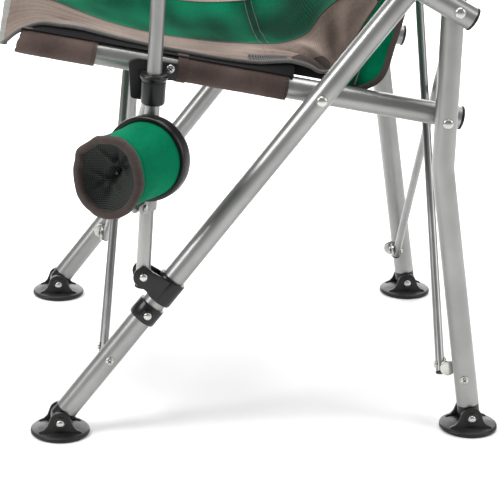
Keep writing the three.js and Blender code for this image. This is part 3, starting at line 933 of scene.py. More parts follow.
def pan_screw(point: Array, x: float, radius: float = 4.8) -> tuple:
    """A cross-head screw facing out at plane x: its head, and a dark cross on it that is painted shade for the
    recess.

    Args:
        point: Place in the side view.
        x: Place across the chair.
        radius: Radius of the head.

    Returns:
        The head, and the dark cross of painted recess shade.
    """
    head = [[0, -0.8], [radius, -0.8], [radius, 0.9], [radius * 0.86, 2.0], [radius * 0.5, 2.6], [0, 2.7]]
    body = turned(soft_profile(head, 0.5), lift(x, point), np.array([1.0, 0, 0]), 32)
    # A dark cross laid on top of the head: painted shade where the cross recess would be.
    bars = []
    for angle in (40.0, 130.0):
        run, tall = heading(angle) * radius * 0.52, heading(angle + 90) * radius * 0.13
        bars.append(plate(np.array([point - run - tall, point + run - tall, point + run + tall, point - run + tall]),
                          x + 2.2, x + 2.82, 0.1))
    return body, joined(bars)


class FrameTubes:
    """The five bent or straight tubes on each side."""

    sides = 48

    def paths(self) -> dict:
        """Centre line of each tube: name to (side-view line, x, radius, body).

        Returns:
            A tuple for each tube, by name.
        """
        leg = rounded([LAY.on_leg(12), LAY.leg_at(LAY.bend_height), LAY.upright_top], 70)
        rear = rounded([step(LAY.rear_pin, LAY.rear_lean, 12), (183.7, 308.0), (183.7, 497.0)], 90)
        rail = np.array([LAY.on_rail(LAY.rail_rear), LAY.on_rail(LAY.rail_front)])
        post = np.array([LAY.on_post(-12), LAY.on_post(LAY.post_length + 8)])
        arm = rounded(self.arm_line(), 140)
        return {
            "front_leg": (leg, LAY.leg_x, LAY.tube_r, "frame"),
            "rear_leg": (rear, LAY.leg_x, LAY.tube_r, "rear_leg"),
            "seat_rail": (rail, LAY.rail_x, LAY.tube_r, "rail"),
            "front_post": (post, LAY.post_x, LAY.post_r, "post"),
            "arm_tube": (arm, LAY.arm_x, LAY.tube_r, "arm"),
        }

    @staticmethod
    def arm_line() -> list:
        """Corners of the arm tube in the side view, rear end first.

        Returns:
            Corners of the arm tube.
        """
        front = LAY.on_post(LAY.post_length)
        return [
            step(LAY.arm_pivot, bearing(LAY.arm_bend, LAY.arm_pivot), 17),
            LAY.arm_bend,
            step(front, bearing(LAY.arm_bend, front), 26),
        ]

    def build(self, shop: Workshop) -> None:
        """Makes the tubes, each a circle carried along its line."""
        for name, (line, x, radius, body) in self.paths().items():
            path = np.column_stack([np.full(len(line), x), line])
            if len(path) == 2:
                path = path[0] + np.linspace(0, 1, 24)[:, None] * (path[1] - path[0])
            skin = carried(path, ring(radius, self.sides))
            shop.both(name + "_tube", skin, shop.finishes.tube, "satin_tube", body, name)


class Feet:
    """Swivel disc feet with two ears and a rivet, and the rounded insert in each leg end."""

    ear_in = 13.5
    ear_out = 18.5

    def disc(self, pin: Array) -> Skin:
        """The round base: a low cone with a rounded rim."""
        prof = [[0, 0], [31.4, 0], [33, 1.4], [33, 4.0], [32.0, 5.2], [29.5, 5.9], [25, 6.9], [20, 8.4],
                [14, 9.6], [0, 10.0]]
        base = turned(soft_profile(prof, 0.6), lift(LAY.leg_x, [pin[0], 0]), np.array([0, 0, 1.0]), 72)
        return base

    def ears(self, pin: Array) -> list:
        """Two rounded ears with a thick waist, standing on the disc.

        Args:
            pin: Side-view centre of the pin.

        Returns:
            The skins of the ears and their hubs.
        """
        arc = [step(pin, a, 12.2) for a in np.linspace(12, 168, 19)]
        foot_line = [[pin[0] - 14.5, 13.5], [pin[0] - 18, 9.6], [pin[0] - 23, 7.4], [pin[0] - 25, 4.5],
                     [pin[0] + 25, 4.5], [pin[0] + 23, 7.4], [pin[0] + 18, 9.6], [pin[0] + 14.5, 13.5]]
        outline = np.array([list(p) for p in arc] + foot_line)
        made = []
        for sign in (1, -1):
            a, b = sorted((LAY.leg_x + sign * self.ear_in, LAY.leg_x + sign * self.ear_out))
            made.append(plate(outline, a, b, 1.1))
            hub = [[0, 0], [7.5, 0], [7.5, 1.2], [6.8, 1.8], [0, 1.8]]
            made.append(turned(hub, lift(LAY.leg_x + sign * self.ear_out, pin), np.array([sign, 0, 0.0]), 32))
        return made

    def insert(self, pin: Array, angle: float) -> Skin:
        """Black end of the leg: a round nose on the pin and a stem that goes up into the tube.

        Args:
            pin: Side-view centre of the pin.
            angle: Heading in degrees.

        Returns:
            The insert.
        """
        start, end = lift(LAY.leg_x, step(pin, angle, 1)), lift(LAY.leg_x, step(pin, angle, 15))
        run = np.linspace(0, 1, 6)[:, None]
        stem = carried(start + run * (end - start), ring(12.3, 40))
        nose = turned(soft_profile([[0, -12.4], [10.8, -12.4], [10.8, 12.4], [0, 12.4]], 1.2),
                      lift(LAY.leg_x, pin), np.array([1.0, 0, 0]), 40)
        return joined([stem, nose])

    def build(self, shop: Workshop) -> None:
        """Makes front and rear feet on both sides."""
        look = shop.finishes
        for end, pin, angle, body, holder in (
            ("front", LAY.front_pin, LAY.leg_angle, "front_foot", "frame"),
            ("rear", LAY.rear_pin, LAY.rear_lean, "rear_foot", "rear_leg"),
        ):
            pin = np.array(pin)
            shop.both(f"{end}_foot_shoe", joined([self.disc(pin), *self.ears(pin)]), look.black, "black_plastic",
                      body, f"{end}_foot")
            shop.both(f"{end}_leg_insert", self.insert(pin, angle), look.gloss, "black_plastic", holder,
                      f"{end}_plug")
            heads = [dome(pin, LAY.leg_x + s * (self.ear_out + 1.6), s, 4.6, 2.6) for s in (1, -1)]
            shop.both(f"{end}_foot_rivet", joined(heads), look.zinc, "zinc_steel", body)


class Hardware:
    """Rivets, screws, end caps and bolts of the side frames."""

    def rivet_pair(self, point: Array, x0: float, x1: float, radius: float = 6.0) -> Skin:
        """Domed heads on both ends of a stack of tubes, with the shank between."""
        shank = turned([[0, 0], [3.0, 0], [3.0, x1 - x0], [0, x1 - x0]], lift(x0, point), np.array([1.0, 0, 0]), 20)
        return joined([dome(point, x1 - 0.6, 1, radius, 3.4), dome(point, x0 + 0.6, -1, radius, 3.4), shank])

    @staticmethod
    def cap(x: float, tip: Array, angle: float, radius: float) -> Skin:
        """A shallow black end cap with a softened rim, on the end of a tube."""
        prof = soft_profile([[0, -6], [radius - 2, -6], [radius - 2, 0.1], [radius + 0.7, 0.1], [radius + 0.7, 2.6],
                             [radius - 2.5, 3.9], [0, 4.2]], 0.7)
        run = heading(angle)
        return turned(prof, lift(x, tip), np.array([0, run[0], run[1]]), 40)

    def build(self, shop: Workshop) -> None:
        """Makes and places every fixing."""
        look = shop.finishes
        pivot, rear = LAY.rail_pivot, LAY.on_rail(LAY.rear_pivot_at)
        inner, outer = LAY.rail_x - LAY.tube_r, LAY.leg_x + LAY.tube_r
        shop.both("rail_pivot_rivet", self.rivet_pair(pivot, inner, outer), look.zinc, "zinc_steel", "frame",
                  "rail_rivet")
        shop.both("rear_pivot_rivet", self.rivet_pair(rear, inner, outer), look.zinc, "zinc_steel", "rail",
                  "rear_rivet")
        arm_out = LAY.arm_x + LAY.tube_r
        bolt = joined([dome(np.array(LAY.arm_pivot), arm_out - 0.6, 1, 6.2, 3.6),
                       turned([[0, 0], [3.1, 0], [3.1, 26], [0, 26]], lift(LAY.arm_x - 13, LAY.arm_pivot),
                              np.array([1.0, 0, 0]), 20)])
        shop.both("arm_rear_bolt", bolt, look.zinc, "zinc_steel", "arm", "arm_bolt")
        front = LAY.on_post(LAY.post_length)
        post_bolt = joined([dome(front, arm_out - 0.6, 1, 5.6, 3.2),
                            dome(front, LAY.post_x - LAY.post_r + 0.4, -1, 5.4, 3.0),
                            turned([[0, 0], [3.0, 0], [3.0, 30], [0, 30]], lift(LAY.post_x - 9, front),
                                   np.array([1.0, 0, 0]), 20)])
        shop.both("arm_front_bolt", post_bolt, look.zinc, "zinc_steel", "arm")
        shop.both("rail_end_cap",
                  self.cap(LAY.rail_x, LAY.on_rail(LAY.rail_rear), LAY.rail_angle, LAY.tube_r), look.black,
                  "black_plastic", "rail", "rail_cap")
        arm = FrameTubes.arm_line()
        shop.both("arm_end_cap", self.cap(LAY.arm_x, arm[0], bearing(arm[1], arm[0]), LAY.tube_r), look.black,
                  "black_plastic", "arm", "arm_cap")
        shop.both("arm_front_cap", self.cap(LAY.arm_x, arm[2], bearing(arm[1], arm[2]), LAY.tube_r), look.black,
                  "black_plastic", "arm")
        shop.both("upright_cap", self.cap(LAY.leg_x, LAY.upright_top, LAY.back_angle, LAY.tube_r), look.black,
                  "black_plastic", "frame", "back_cap")
        hood = soft_profile([[0, -15], [13.5, -15], [13.7, 1], [11, 3.2], [0, 3.6]], 0.6)
        shop.both("rear_leg_hood", turned(hood, lift(LAY.leg_x, (183.7, 497.0)), np.array([0, 0, 1.0]), 48),
                  look.black,
                  "black_plastic", "rear_leg")
        shop.both("post_foot_cap", self.cap(LAY.post_x, LAY.on_post(-12), LAY.post_angle + 180, LAY.post_r),
                  look.black, "black_plastic", "post")
        shop.both("post_top_cap", self.cap(LAY.post_x, LAY.on_post(LAY.post_length + 8), LAY.post_angle,
                                           LAY.post_r), look.black, "black_plastic", "post")
        self.screws(shop)

    def screws(self, shop: Workshop) -> None:
        """Cross-head screws through the legs at the rod brackets."""
        look = shop.finishes
        spots = (
            ("front_bracket", LAY.on_leg(90), LAY.leg_x + LAY.tube_r - 0.4, "frame"),
            ("rear_bracket", np.array([221.0, 63.0]), LAY.leg_x + LAY.tube_r - 0.4, "rear_leg"),
            ("plate", LAY.on_rail(163, 1), LAY.rail_x + LAY.tube_r + 4.2, "rail"),
        )
        for name, point, x, body in spots:
            head, recess = pan_screw(point, x)
            shop.both(f"{name}_screw", head, look.zinc, "zinc_steel", body)
            shop.both(f"{name}_screw_recess", recess, look.recess, "zinc_steel", body)


class Fittings:
    """Black moulded parts: slider, stop collar, guide sleeve and rail plate."""

    def slider(self) -> Skin:
        """Split clamp round the leg with two ears that reach forward to the post.

        Returns:
            The slider.
        """
        a, b = LAY.on_leg(176), LAY.on_leg(206)
        run = np.array([0, 0.03, 0.06, 0.5, 0.94, 0.97, 1])[:, None]
        radii = np.array([15.2, 15.7, 16.0, 16.0, 16.0, 15.7, 15.2])
        prof = ring(1.0, 44)[None] * radii[:, None, None]
        body = carried(lift(LAY.leg_x, a) + run * (lift(LAY.leg_x, b) - lift(LAY.leg_x, a)), prof)
        parts = [body]
        tip = LAY.post_pivot
        for sign in (1, -1):
            x0, x1 = sorted((LAY.post_x + sign * 8.6, LAY.post_x + sign * 12.8))
            arc = [step(tip, t, 11.4) for t in np.linspace(53 - 20, 53 + 200, 16)]
            low = [LAY.on_leg(179, 4), LAY.on_leg(204, 4)]
            outline = np.array([list(p) for p in arc] + [list(p) for p in low])
            parts.append(plate(outline, x0, x1, 0.9))
        return joined(parts)

    def collar(self) -> Skin:
        """Stop ring on the leg with a small boss on the outside.

        Returns:
            The collar.
        """
        a, b = lift(LAY.leg_x, LAY.on_leg(148)), lift(LAY.leg_x, LAY.on_leg(168.5))
        run = np.array([0, 0.04, 0.5, 0.96, 1])[:, None]
        radii = np.array([15.0, 15.5, 15.5, 15.5, 15.0])
        band = carried(a + run * (b - a), ring(1.0, 44)[None] * radii[:, None, None])
        boss = turned(soft_profile([[0, 0], [7.4, 0], [6.8, 3.4], [0, 3.4]], 0.8),
                      lift(LAY.leg_x + 13.6, LAY.on_leg(158)), np.array([1.0, 0, 0]), 32)
        return joined([band, boss])

    def sleeve(self) -> Skin:
        """Guide bush on the post: a barrel with a flared upper lip and a chamfered foot."""
        base = self.sleeve_along()
        run = heading(LAY.post_angle)
        prof = soft_profile([[8.3, -15.5], [11.6, -15.5], [12.9, -13.5], [13.2, 9], [12.8, 10.5], [14.6, 12.2],
                             [15.4, 15.5], [14.0, 17.6], [8.3, 17.6], [8.3, -15.5]], 0.5)
        return turned(prof, lift(LAY.post_x, LAY.on_post(base)), np.array([0, run[0], run[1]]), 48)

    @staticmethod
    def sleeve_along() -> float:
        """Distance up the post to the sleeve: where the post meets a line below the rail."""
        run, line = heading(LAY.post_angle), heading(LAY.rail_angle)
        normal = np.array([-line[1], line[0]])
        return float((LAY.on_rail(0, -21) - LAY.post_pivot) @ normal / (run @ normal))

    def rail_plate(self) -> Skin:
        """L-shaped plate screwed to the outside of the rail, its lower leg beside the sleeve."""
        corners = [[155, 8], [201, 6], [208, 0], [199, -38], [184, -38], [186, -14], [153, -11]]
        outline = rounded_outline([LAY.on_rail(t, n) for t, n in corners], 4)
        face = LAY.rail_x + LAY.tube_r + 0.4
        return plate(outline, face, face + 4.0, 1.0)

    def build(self, shop: Workshop) -> None:
        """Makes the fittings and the rivets that show in them."""
        look = shop.finishes
        shop.both("slider_clamp", self.slider(), look.gloss, "black_plastic", "slider", "leg_slider")
        shop.both("stop_ring", self.collar(), look.gloss, "black_plastic", "frame", "stop_collar")
        shop.both("guide_sleeve", self.sleeve(), look.gloss, "black_plastic", "sleeve", "post_sleeve")
        shop.both("rail_side_plate", self.rail_plate(), look.black, "black_plastic", "rail", "rail_plate")
        pin = [dome(LAY.post_pivot, LAY.post_x + s * 12.6, s, 4.4, 2.4) for s in (1, -1)]
        shop.both("slider_pin", joined(pin), look.zinc, "zinc_steel", "slider")
        shop.both("collar_rivet", dome(LAY.on_leg(158), LAY.leg_x + 16.8, 1, 4.4, 2.4), look.zinc, "zinc_steel",
                  "frame")


@dataclass(frozen=True)
class Cross:
    """One pair of crossing rods: its lower and upper pivots in the side view."""

    name: str
    low: tuple
    high: tuple
    top_x: float
    low_x: float = 193.0

    @property
    def angle(self) -> float:
        """Heading of the rods' plane."""
        return bearing(self.low, self.high)

    def shifted(self, point: Sequence[float], aside: float) -> Array:
        """Point moved square to the rods' plane, towards the rear."""
        return step(point, self.angle, 0, -aside)


class CrossRods:
    """Thin rods that cross between the sides, with their zinc brackets and bolts."""

    def pairs(self) -> list:
        """The front pair and the rear pair."""
        return [
            Cross("front", tuple(LAY.on_leg(92)), tuple(LAY.on_rail(180, -18)), 156.0),
            Cross("rear", LAY.rear_clevis, tuple(LAY.leg_at(600)), 188.0),
        ]

    @staticmethod
    def aside(side: Side) -> float:
        """Which face of the brackets the rod from this side runs on: left in front, right behind."""
        return -LAY.rod_aside if side is Side.LEFT else LAY.rod_aside

    @staticmethod
    def tab(x0: float, x1: float, centre: Array, angle: float, half: float = 8.0, thick: float = 2.6) -> Skin:
        """A flat strap across the chair with a round free end, standing in the rods' plane.

        Args:
            x0: Free end on X.
            x1: Fixed end on X.
            centre: Middle of the piece in the side view.
            angle: Heading in degrees.
            half: Half of its height.
            thick: Its thickness.

        Returns:
            The strap.
        """
        lengthwise, normal = heading(angle), heading(angle - 90)
        t = np.linspace(-90, 90, 11)
        nose = [(x0 + half - half * math.cos(math.radians(a)), half * math.sin(math.radians(a))) for a in t]
        outline = nose + [(x1, half), (x1, -half)]
        rows = []
        for depth, inset in ((-0.5, 0.5), (-0.36, 0.0), (0.36, 0.0), (0.5, 0.5)):
            for x, up in outline:
                point = centre + lengthwise * up * (1 - inset / half) + normal * depth * thick
                rows.append([x + (inset if x < x0 + half else 0), point[0], point[1]])
        m = len(outline)
        faces = grid_faces(4, m, wrap_cols=True) + [list(range(m))[::-1], [3 * m + k for k in range(m)]]
        return outward(Skin.of(np.array(rows), faces))

    def rod(self, pair: Cross, aside: float) -> tuple:
        """A rod and the two black plugs in its ends.

        Args:
            pair: The pair of rods it belongs to.
            aside: Distance from the plane of the rods.

        Returns:
            The rod and its plugs.
        """
        low = lift(pair.low_x, pair.shifted(pair.low, aside))
        high = lift(-pair.top_x, pair.shifted(pair.high, aside))
        run = (high - low) / np.linalg.norm(high - low)
        spans = np.linspace(0, 1, 10)[:, None]
        a, b = low - run * 8.5, high + run * 6.5
        tube = carried(a + spans * (b - a), ring(LAY.rod_r, 28))
        prof = soft_profile([[0, -2], [4.4, -2], [4.4, 0.2], [5.5, 0.2], [5.4, 2.2], [3.5, 3.2], [0, 3.4]], 0.4)
        plugs = [turned(prof, a, -run, 24), turned(prof, b, run, 24)]
        return tube, joined(plugs)

    def bolt(self, x: float, pair: Cross, point: Sequence[float], aside: float) -> Skin:
        """Bolt through a rod and its tab: a domed head on the rod, a nut behind the tab.

        Args:
            x: Place across the chair.
            pair: The pair of rods it belongs to.
            point: Place in the side view.
            aside: Distance from the plane of the rods.

        Returns:
            The bolt.
        """
        normal = heading(pair.angle - 90)
        axis = np.array([0, normal[0], normal[1]]) * np.sign(aside)
        centre = lift(x, pair.shifted(point, aside))
        head = turned([[0, 4.4], [4.4, 4.4], [4.4, 5.6], [3.4, 6.9], [0, 7.4]], centre, axis, 24)
        shank = turned([[0, -9], [2.2, -9], [2.2, 5], [0, 5]], centre, axis, 16)
        nut = turned(soft_profile([[0, -11], [4.6, -11], [4.6, -8.2], [0, -8.2]], 0.4), centre, axis, 6)
        return joined([head, shank, nut])

    def build(self, shop: Workshop) -> None:
        """Makes rods, brackets and bolts on both sides."""
        look = shop.finishes
        face = LAY.leg_x - LAY.tube_r - 0.3
        for pair in self.pairs():
            for side in Side:
                aside = self.aside(side)
                word, sign = side.word, side.value
                turn = (lambda s: s) if side is Side.LEFT else (lambda s: s.mirrored())
                tube, plugs = self.rod(pair, aside)
                rod_body = f"{word}_{pair.name}_rod"
                shop.piece(f"{pair.name}_rod_tube_{word}", turn(tube), look.rod, "satin_tube", rod_body,
                           [f"{pair.name}_rod_{word}"])
                shop.piece(f"{pair.name}_rod_ends_{word}", turn(plugs), look.black, "black_plastic", rod_body)
                disc = turned(soft_profile([[0, 0], [9, 0], [9, -3], [0, -3]], 0.5), lift(face, pair.low),
                              np.array([1.0, 0, 0]), 32)
                strap = self.tab(pair.low_x - 9, face - 1.5, np.array(pair.low), pair.angle)
                bolt = self.bolt(pair.low_x, pair, pair.low, aside)
                shop.piece(f"{pair.name}_clevis_strap_{word}", turn(joined([disc, strap])), look.zinc, "zinc_steel",
                           f"{word}_{pair.name}_clevis", [f"{pair.name}_clevis_{word}"])
                shop.piece(f"{pair.name}_clevis_bolt_{word}", turn(bolt), look.zinc, "zinc_steel", rod_body)
                self.top_bracket(shop, pair, side)
                LOG.info("%s %s rod, sign %d", pair.name, word, sign)

    def top_bracket(self, shop: Workshop, pair: Cross, side: Side) -> None:
        """Tab that takes the top of the rod from the other side, and that rod's bolt.

        Args:
            shop: Workshop that makes the pieces.
            pair: The pair of rods it belongs to.
            side: Side it stands on.
        """
        other = self.aside(Side.RIGHT if side is Side.LEFT else Side.LEFT)
        offset = other - LAY.rod_r - 0.4 - 1.5
        centre = pair.shifted(pair.high, offset)
        front = pair.name == "front"
        face = (LAY.rail_x if front else LAY.leg_x) - LAY.tube_r - 0.3
        strap = self.tab(pair.top_x - 8, face - 0.5, centre, pair.angle)
        if front:
            corners = [[180 - offset - 1, -16], [180 - offset + 15, -16], [180 - offset + 15, 5],
                       [180 - offset - 1, 5]]
            base = plate(rounded_outline([LAY.on_rail(t, n) for t, n in corners], 3), face - 2.6, face, 0.6)
        else:
            ends = [step(centre, LAY.leg_angle, a, o) for a, o in ((-13, -7), (13, -7), (13, 7), (-13, 7))]
            base = plate(rounded_outline(ends, 3), face - 2.6, face, 0.6)
        turn = (lambda s: s) if side is Side.LEFT else (lambda s: s.mirrored())
        node = "rail_bracket" if front else "upright_bracket"
        shop.piece(f"{pair.name}_top_strap_{side.word}", turn(joined([strap, base])), shop.finishes.zinc,
                   "zinc_steel", f"{side.word}_{pair.name}_top_clevis", [f"{node}_{side.word}"])


class ArmPads:
    """Foam pads in dark cloth wrapped round the level stretch of each arm tube."""

    length = 186.0
    half_w = 27.0

    def build(self, shop: Workshop) -> None:
        """Makes pads whose section is a superellipse that tapers at both ends, with a seam and two bands."""
        look = shop.finishes
        front = LAY.on_post(LAY.post_length)
        angle = bearing(front, LAY.arm_bend)
        ends = [step(front, angle, -20), step(front, angle, self.length - 34)]
        t = np.linspace(0, 1, 56)
        taper = (1 - np.abs(2 * t - 1) ** 7) ** (1 / 7)
        taper = np.clip(taper, 0.25, 1)
        crown = 1 + 0.05 * np.sin(np.pi * t)
        base = pill(2, 2, 48, 2.8)
        prof = base[None] * np.stack([self.half_w * taper, 11.5 * taper * crown], 1)[:, None, :]
        prof = prof + np.array([0, 0.0])
        run = np.array(ends[0]) + t[:, None] * (np.array(ends[1]) - np.array(ends[0]))
        normal = heading(angle + 90)
        line = run + normal * -1 * (-(LAY.tube_r + 12.4))
        path = np.column_stack([np.full(len(line), LAY.arm_x), line])
        up = np.array([0, normal[0], normal[1]])
        skin = carried(path, prof, up)
        puff = ripple(skin.verts[:, 1], skin.verts[:, 0], 5, 42.0) * 0.35
        middle = lift(LAY.arm_x, (run[len(run) // 2] + normal * (LAY.tube_r + 12.4)))
        away = skin.verts - middle
        away[:, 1:] -= np.outer(away[:, 1:] @ heading(angle), heading(angle))
        away /= np.maximum(np.linalg.norm(away, axis=1, keepdims=True), 1e-6)
        skin.verts = skin.verts + away * puff[:, None]
        for pad in shop.both("arm_pad_cover", skin, look.black_cloth, "arm_cover", "arm", "arm_pad"):
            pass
        seam_line = path[2:-2] + up * 0.2
        seams = []
        for sign in (1, -1):
            edge = seam_line + np.array([sign, 0, 0]) * (self.half_w * taper[2:-2, None] + 0.3)
            seams.append(carried(edge, ring(1.3, 10)))
        shop.both("arm_pad_piping", joined(seams), look.dark_tape, "arm_cover", "arm")
        straps = []
        for share in (0.2, 0.8):
            spot = path[int(share * 55)]
            loop = np.linspace(0, 2 * np.pi, 48, endpoint=False)
            tube_centre = spot - up * 12.4
            low = np.stack([np.cos(loop) * 15.0, np.sin(loop) * 14.4], 1)
            ring_pts = tube_centre + low[:, :1] * np.array([1.0, 0, 0]) + low[:, 1:] * up
            along = np.array([0, *heading(angle)])
            straps.append(carried(ring_pts, pill(18.0, 1.6, 16)[:, ::-1], up=np.broadcast_to(along, ring_pts.shape),
                                  closed=True))
        shop.both("arm_pad_strap", joined(straps), look.dark_tape, "arm_cover", "arm")


# ---------------------------------------------------------------- cloth parts


def rail_points(x: Array, t: Array, n: Array) -> Array:
    """Points across the chair at x, forward t along the seat rail and n above its axis."""
    run = heading(LAY.rail_angle)
    pivot = LAY.rail_pivot
    x, t, n = np.broadcast_arrays(np.asarray(x, float), t, n)
    return np.stack([x, pivot[0] - run[0] * t - run[1] * n, pivot[1] - run[1] * t + run[0] * n], -1)


def bell(at: Array, middle: float, width: float) -> Array:
    """Gaussian bump of height one."""
    return np.exp(-(((at - middle) / width) ** 2))


def stitches(line: Array, up: Array, pitch: float = 3.4, size: Sequence[float] = (1.25, 0.38, 0.34)) -> Skin:
    """Short raised stitches along a line: one stretched octahedron every pitch.

    Args:
        line: Points the seam follows.
        up: Outward direction, one vector or one for each point.
        pitch: Distance between stitches in millimetres.
        size: Half length, half width and half height of a stitch.

    Returns:
        All stitches as one skin.
    """
    run = np.concatenate([[0], np.cumsum(np.linalg.norm(np.diff(line, axis=0), axis=1))])
    at = np.arange(pitch / 2, run[-1], pitch)
    pick = lambda rows: np.stack([np.interp(at, run, rows[:, i]) for i in range(3)], 1)
    centre, ahead = pick(line), pick(np.gradient(line, axis=0))
    up = pick(np.broadcast_to(up, line.shape))
    ahead /= np.linalg.norm(ahead, axis=1, keepdims=True)
    up = up - ahead * np.einsum("ij,ij->i", up, ahead)[:, None]
    up /= np.linalg.norm(up, axis=1, keepdims=True)
    side = np.cross(ahead, up)
    arms = np.stack([ahead * size[0], side * size[1], -ahead * size[0], -side * size[1], up * size[2],
                     -up * size[2]], 1)
    verts = (centre[:, None] + arms).reshape(-1, 3)
    one = np.array([[0, 1, 4], [1, 2, 4], [2, 3, 4], [3, 0, 4], [1, 0, 5], [2, 1, 5], [3, 2, 5], [0, 3, 5]])
    faces = (one[None] + 6 * np.arange(len(at))[:, None, None]).reshape(-1, 3).tolist()
    return outward(Skin.of(verts, faces))


def face_normals(grid: Array) -> Array:
    """Unit normals of a grid, on its upper or outer side."""
    normal = np.cross(np.gradient(grid, axis=0), np.gradient(grid, axis=1))
    normal /= np.maximum(np.linalg.norm(normal, axis=-1, keepdims=True), 1e-9)
    return normal if float(normal[..., 2].mean()) > 0 else -normal


def sheet_size(grid: Array) -> tuple:
    """Flat width and length of a cloth grid in metres, and its area: the sums of its spans.

    Args:
        grid: Grid of points along the cloth.

    Returns:
        Width, length and area in metres.
    """
    across = np.linalg.norm(np.diff(grid, axis=1), axis=-1).sum(1)
    along = np.linalg.norm(np.diff(grid, axis=0), axis=-1).sum(0)
    u, v = grid[1:, :-1] - grid[:-1, :-1], grid[:-1, 1:] - grid[:-1, :-1]
    area = float(np.linalg.norm(np.cross(u, v), axis=-1).sum())
    length = float(along.max())
    width = min(float(across.max()), area / (0.45 * length))
    return width * MM, length * MM, min(area, width * length) * MM * MM


class Slung:
    """Shared by the seat and the back: turns grids into sheets."""

    travel = 261.9

    def __init__(self, shop: Workshop, body: str, edge: float) -> None:
        self.shop, self.body, self.edge = shop, body, edge

    def squeeze(self, made: bpy.types.Object) -> bpy.types.Object:
        """Gives a piece its own copy of its mesh."""
        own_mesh(made)
        return made

    def across(
        self, name: str, skin: Skin, material: bpy.types.Material, slot: str, nodes: Sequence[str] = ()
    ) -> bpy.types.Object:
        """A piece that spans the chair or lies near one side of the span."""
        return self.squeeze(self.shop.piece(name, skin, material, slot, self.body, nodes))

    def sheet(
        self,
        name: str,
        grid: Array,
        material: bpy.types.Material,
        slot: str,
        uv: Array,
        thickness: float = 1.3,
        tone: Optional[Array] = None,
        nodes: Sequence[str] = (),
        held: str = "stretched",
    ) -> bpy.types.Object:
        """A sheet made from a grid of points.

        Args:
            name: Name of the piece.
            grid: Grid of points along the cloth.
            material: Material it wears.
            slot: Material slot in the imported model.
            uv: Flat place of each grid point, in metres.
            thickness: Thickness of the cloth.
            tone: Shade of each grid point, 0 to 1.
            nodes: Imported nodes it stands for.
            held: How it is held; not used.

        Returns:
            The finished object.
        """
        made = self.across(name, cloth(grid, thickness, uv, tone), material, slot, nodes)
        width, length, area = sheet_size(grid)
        return made


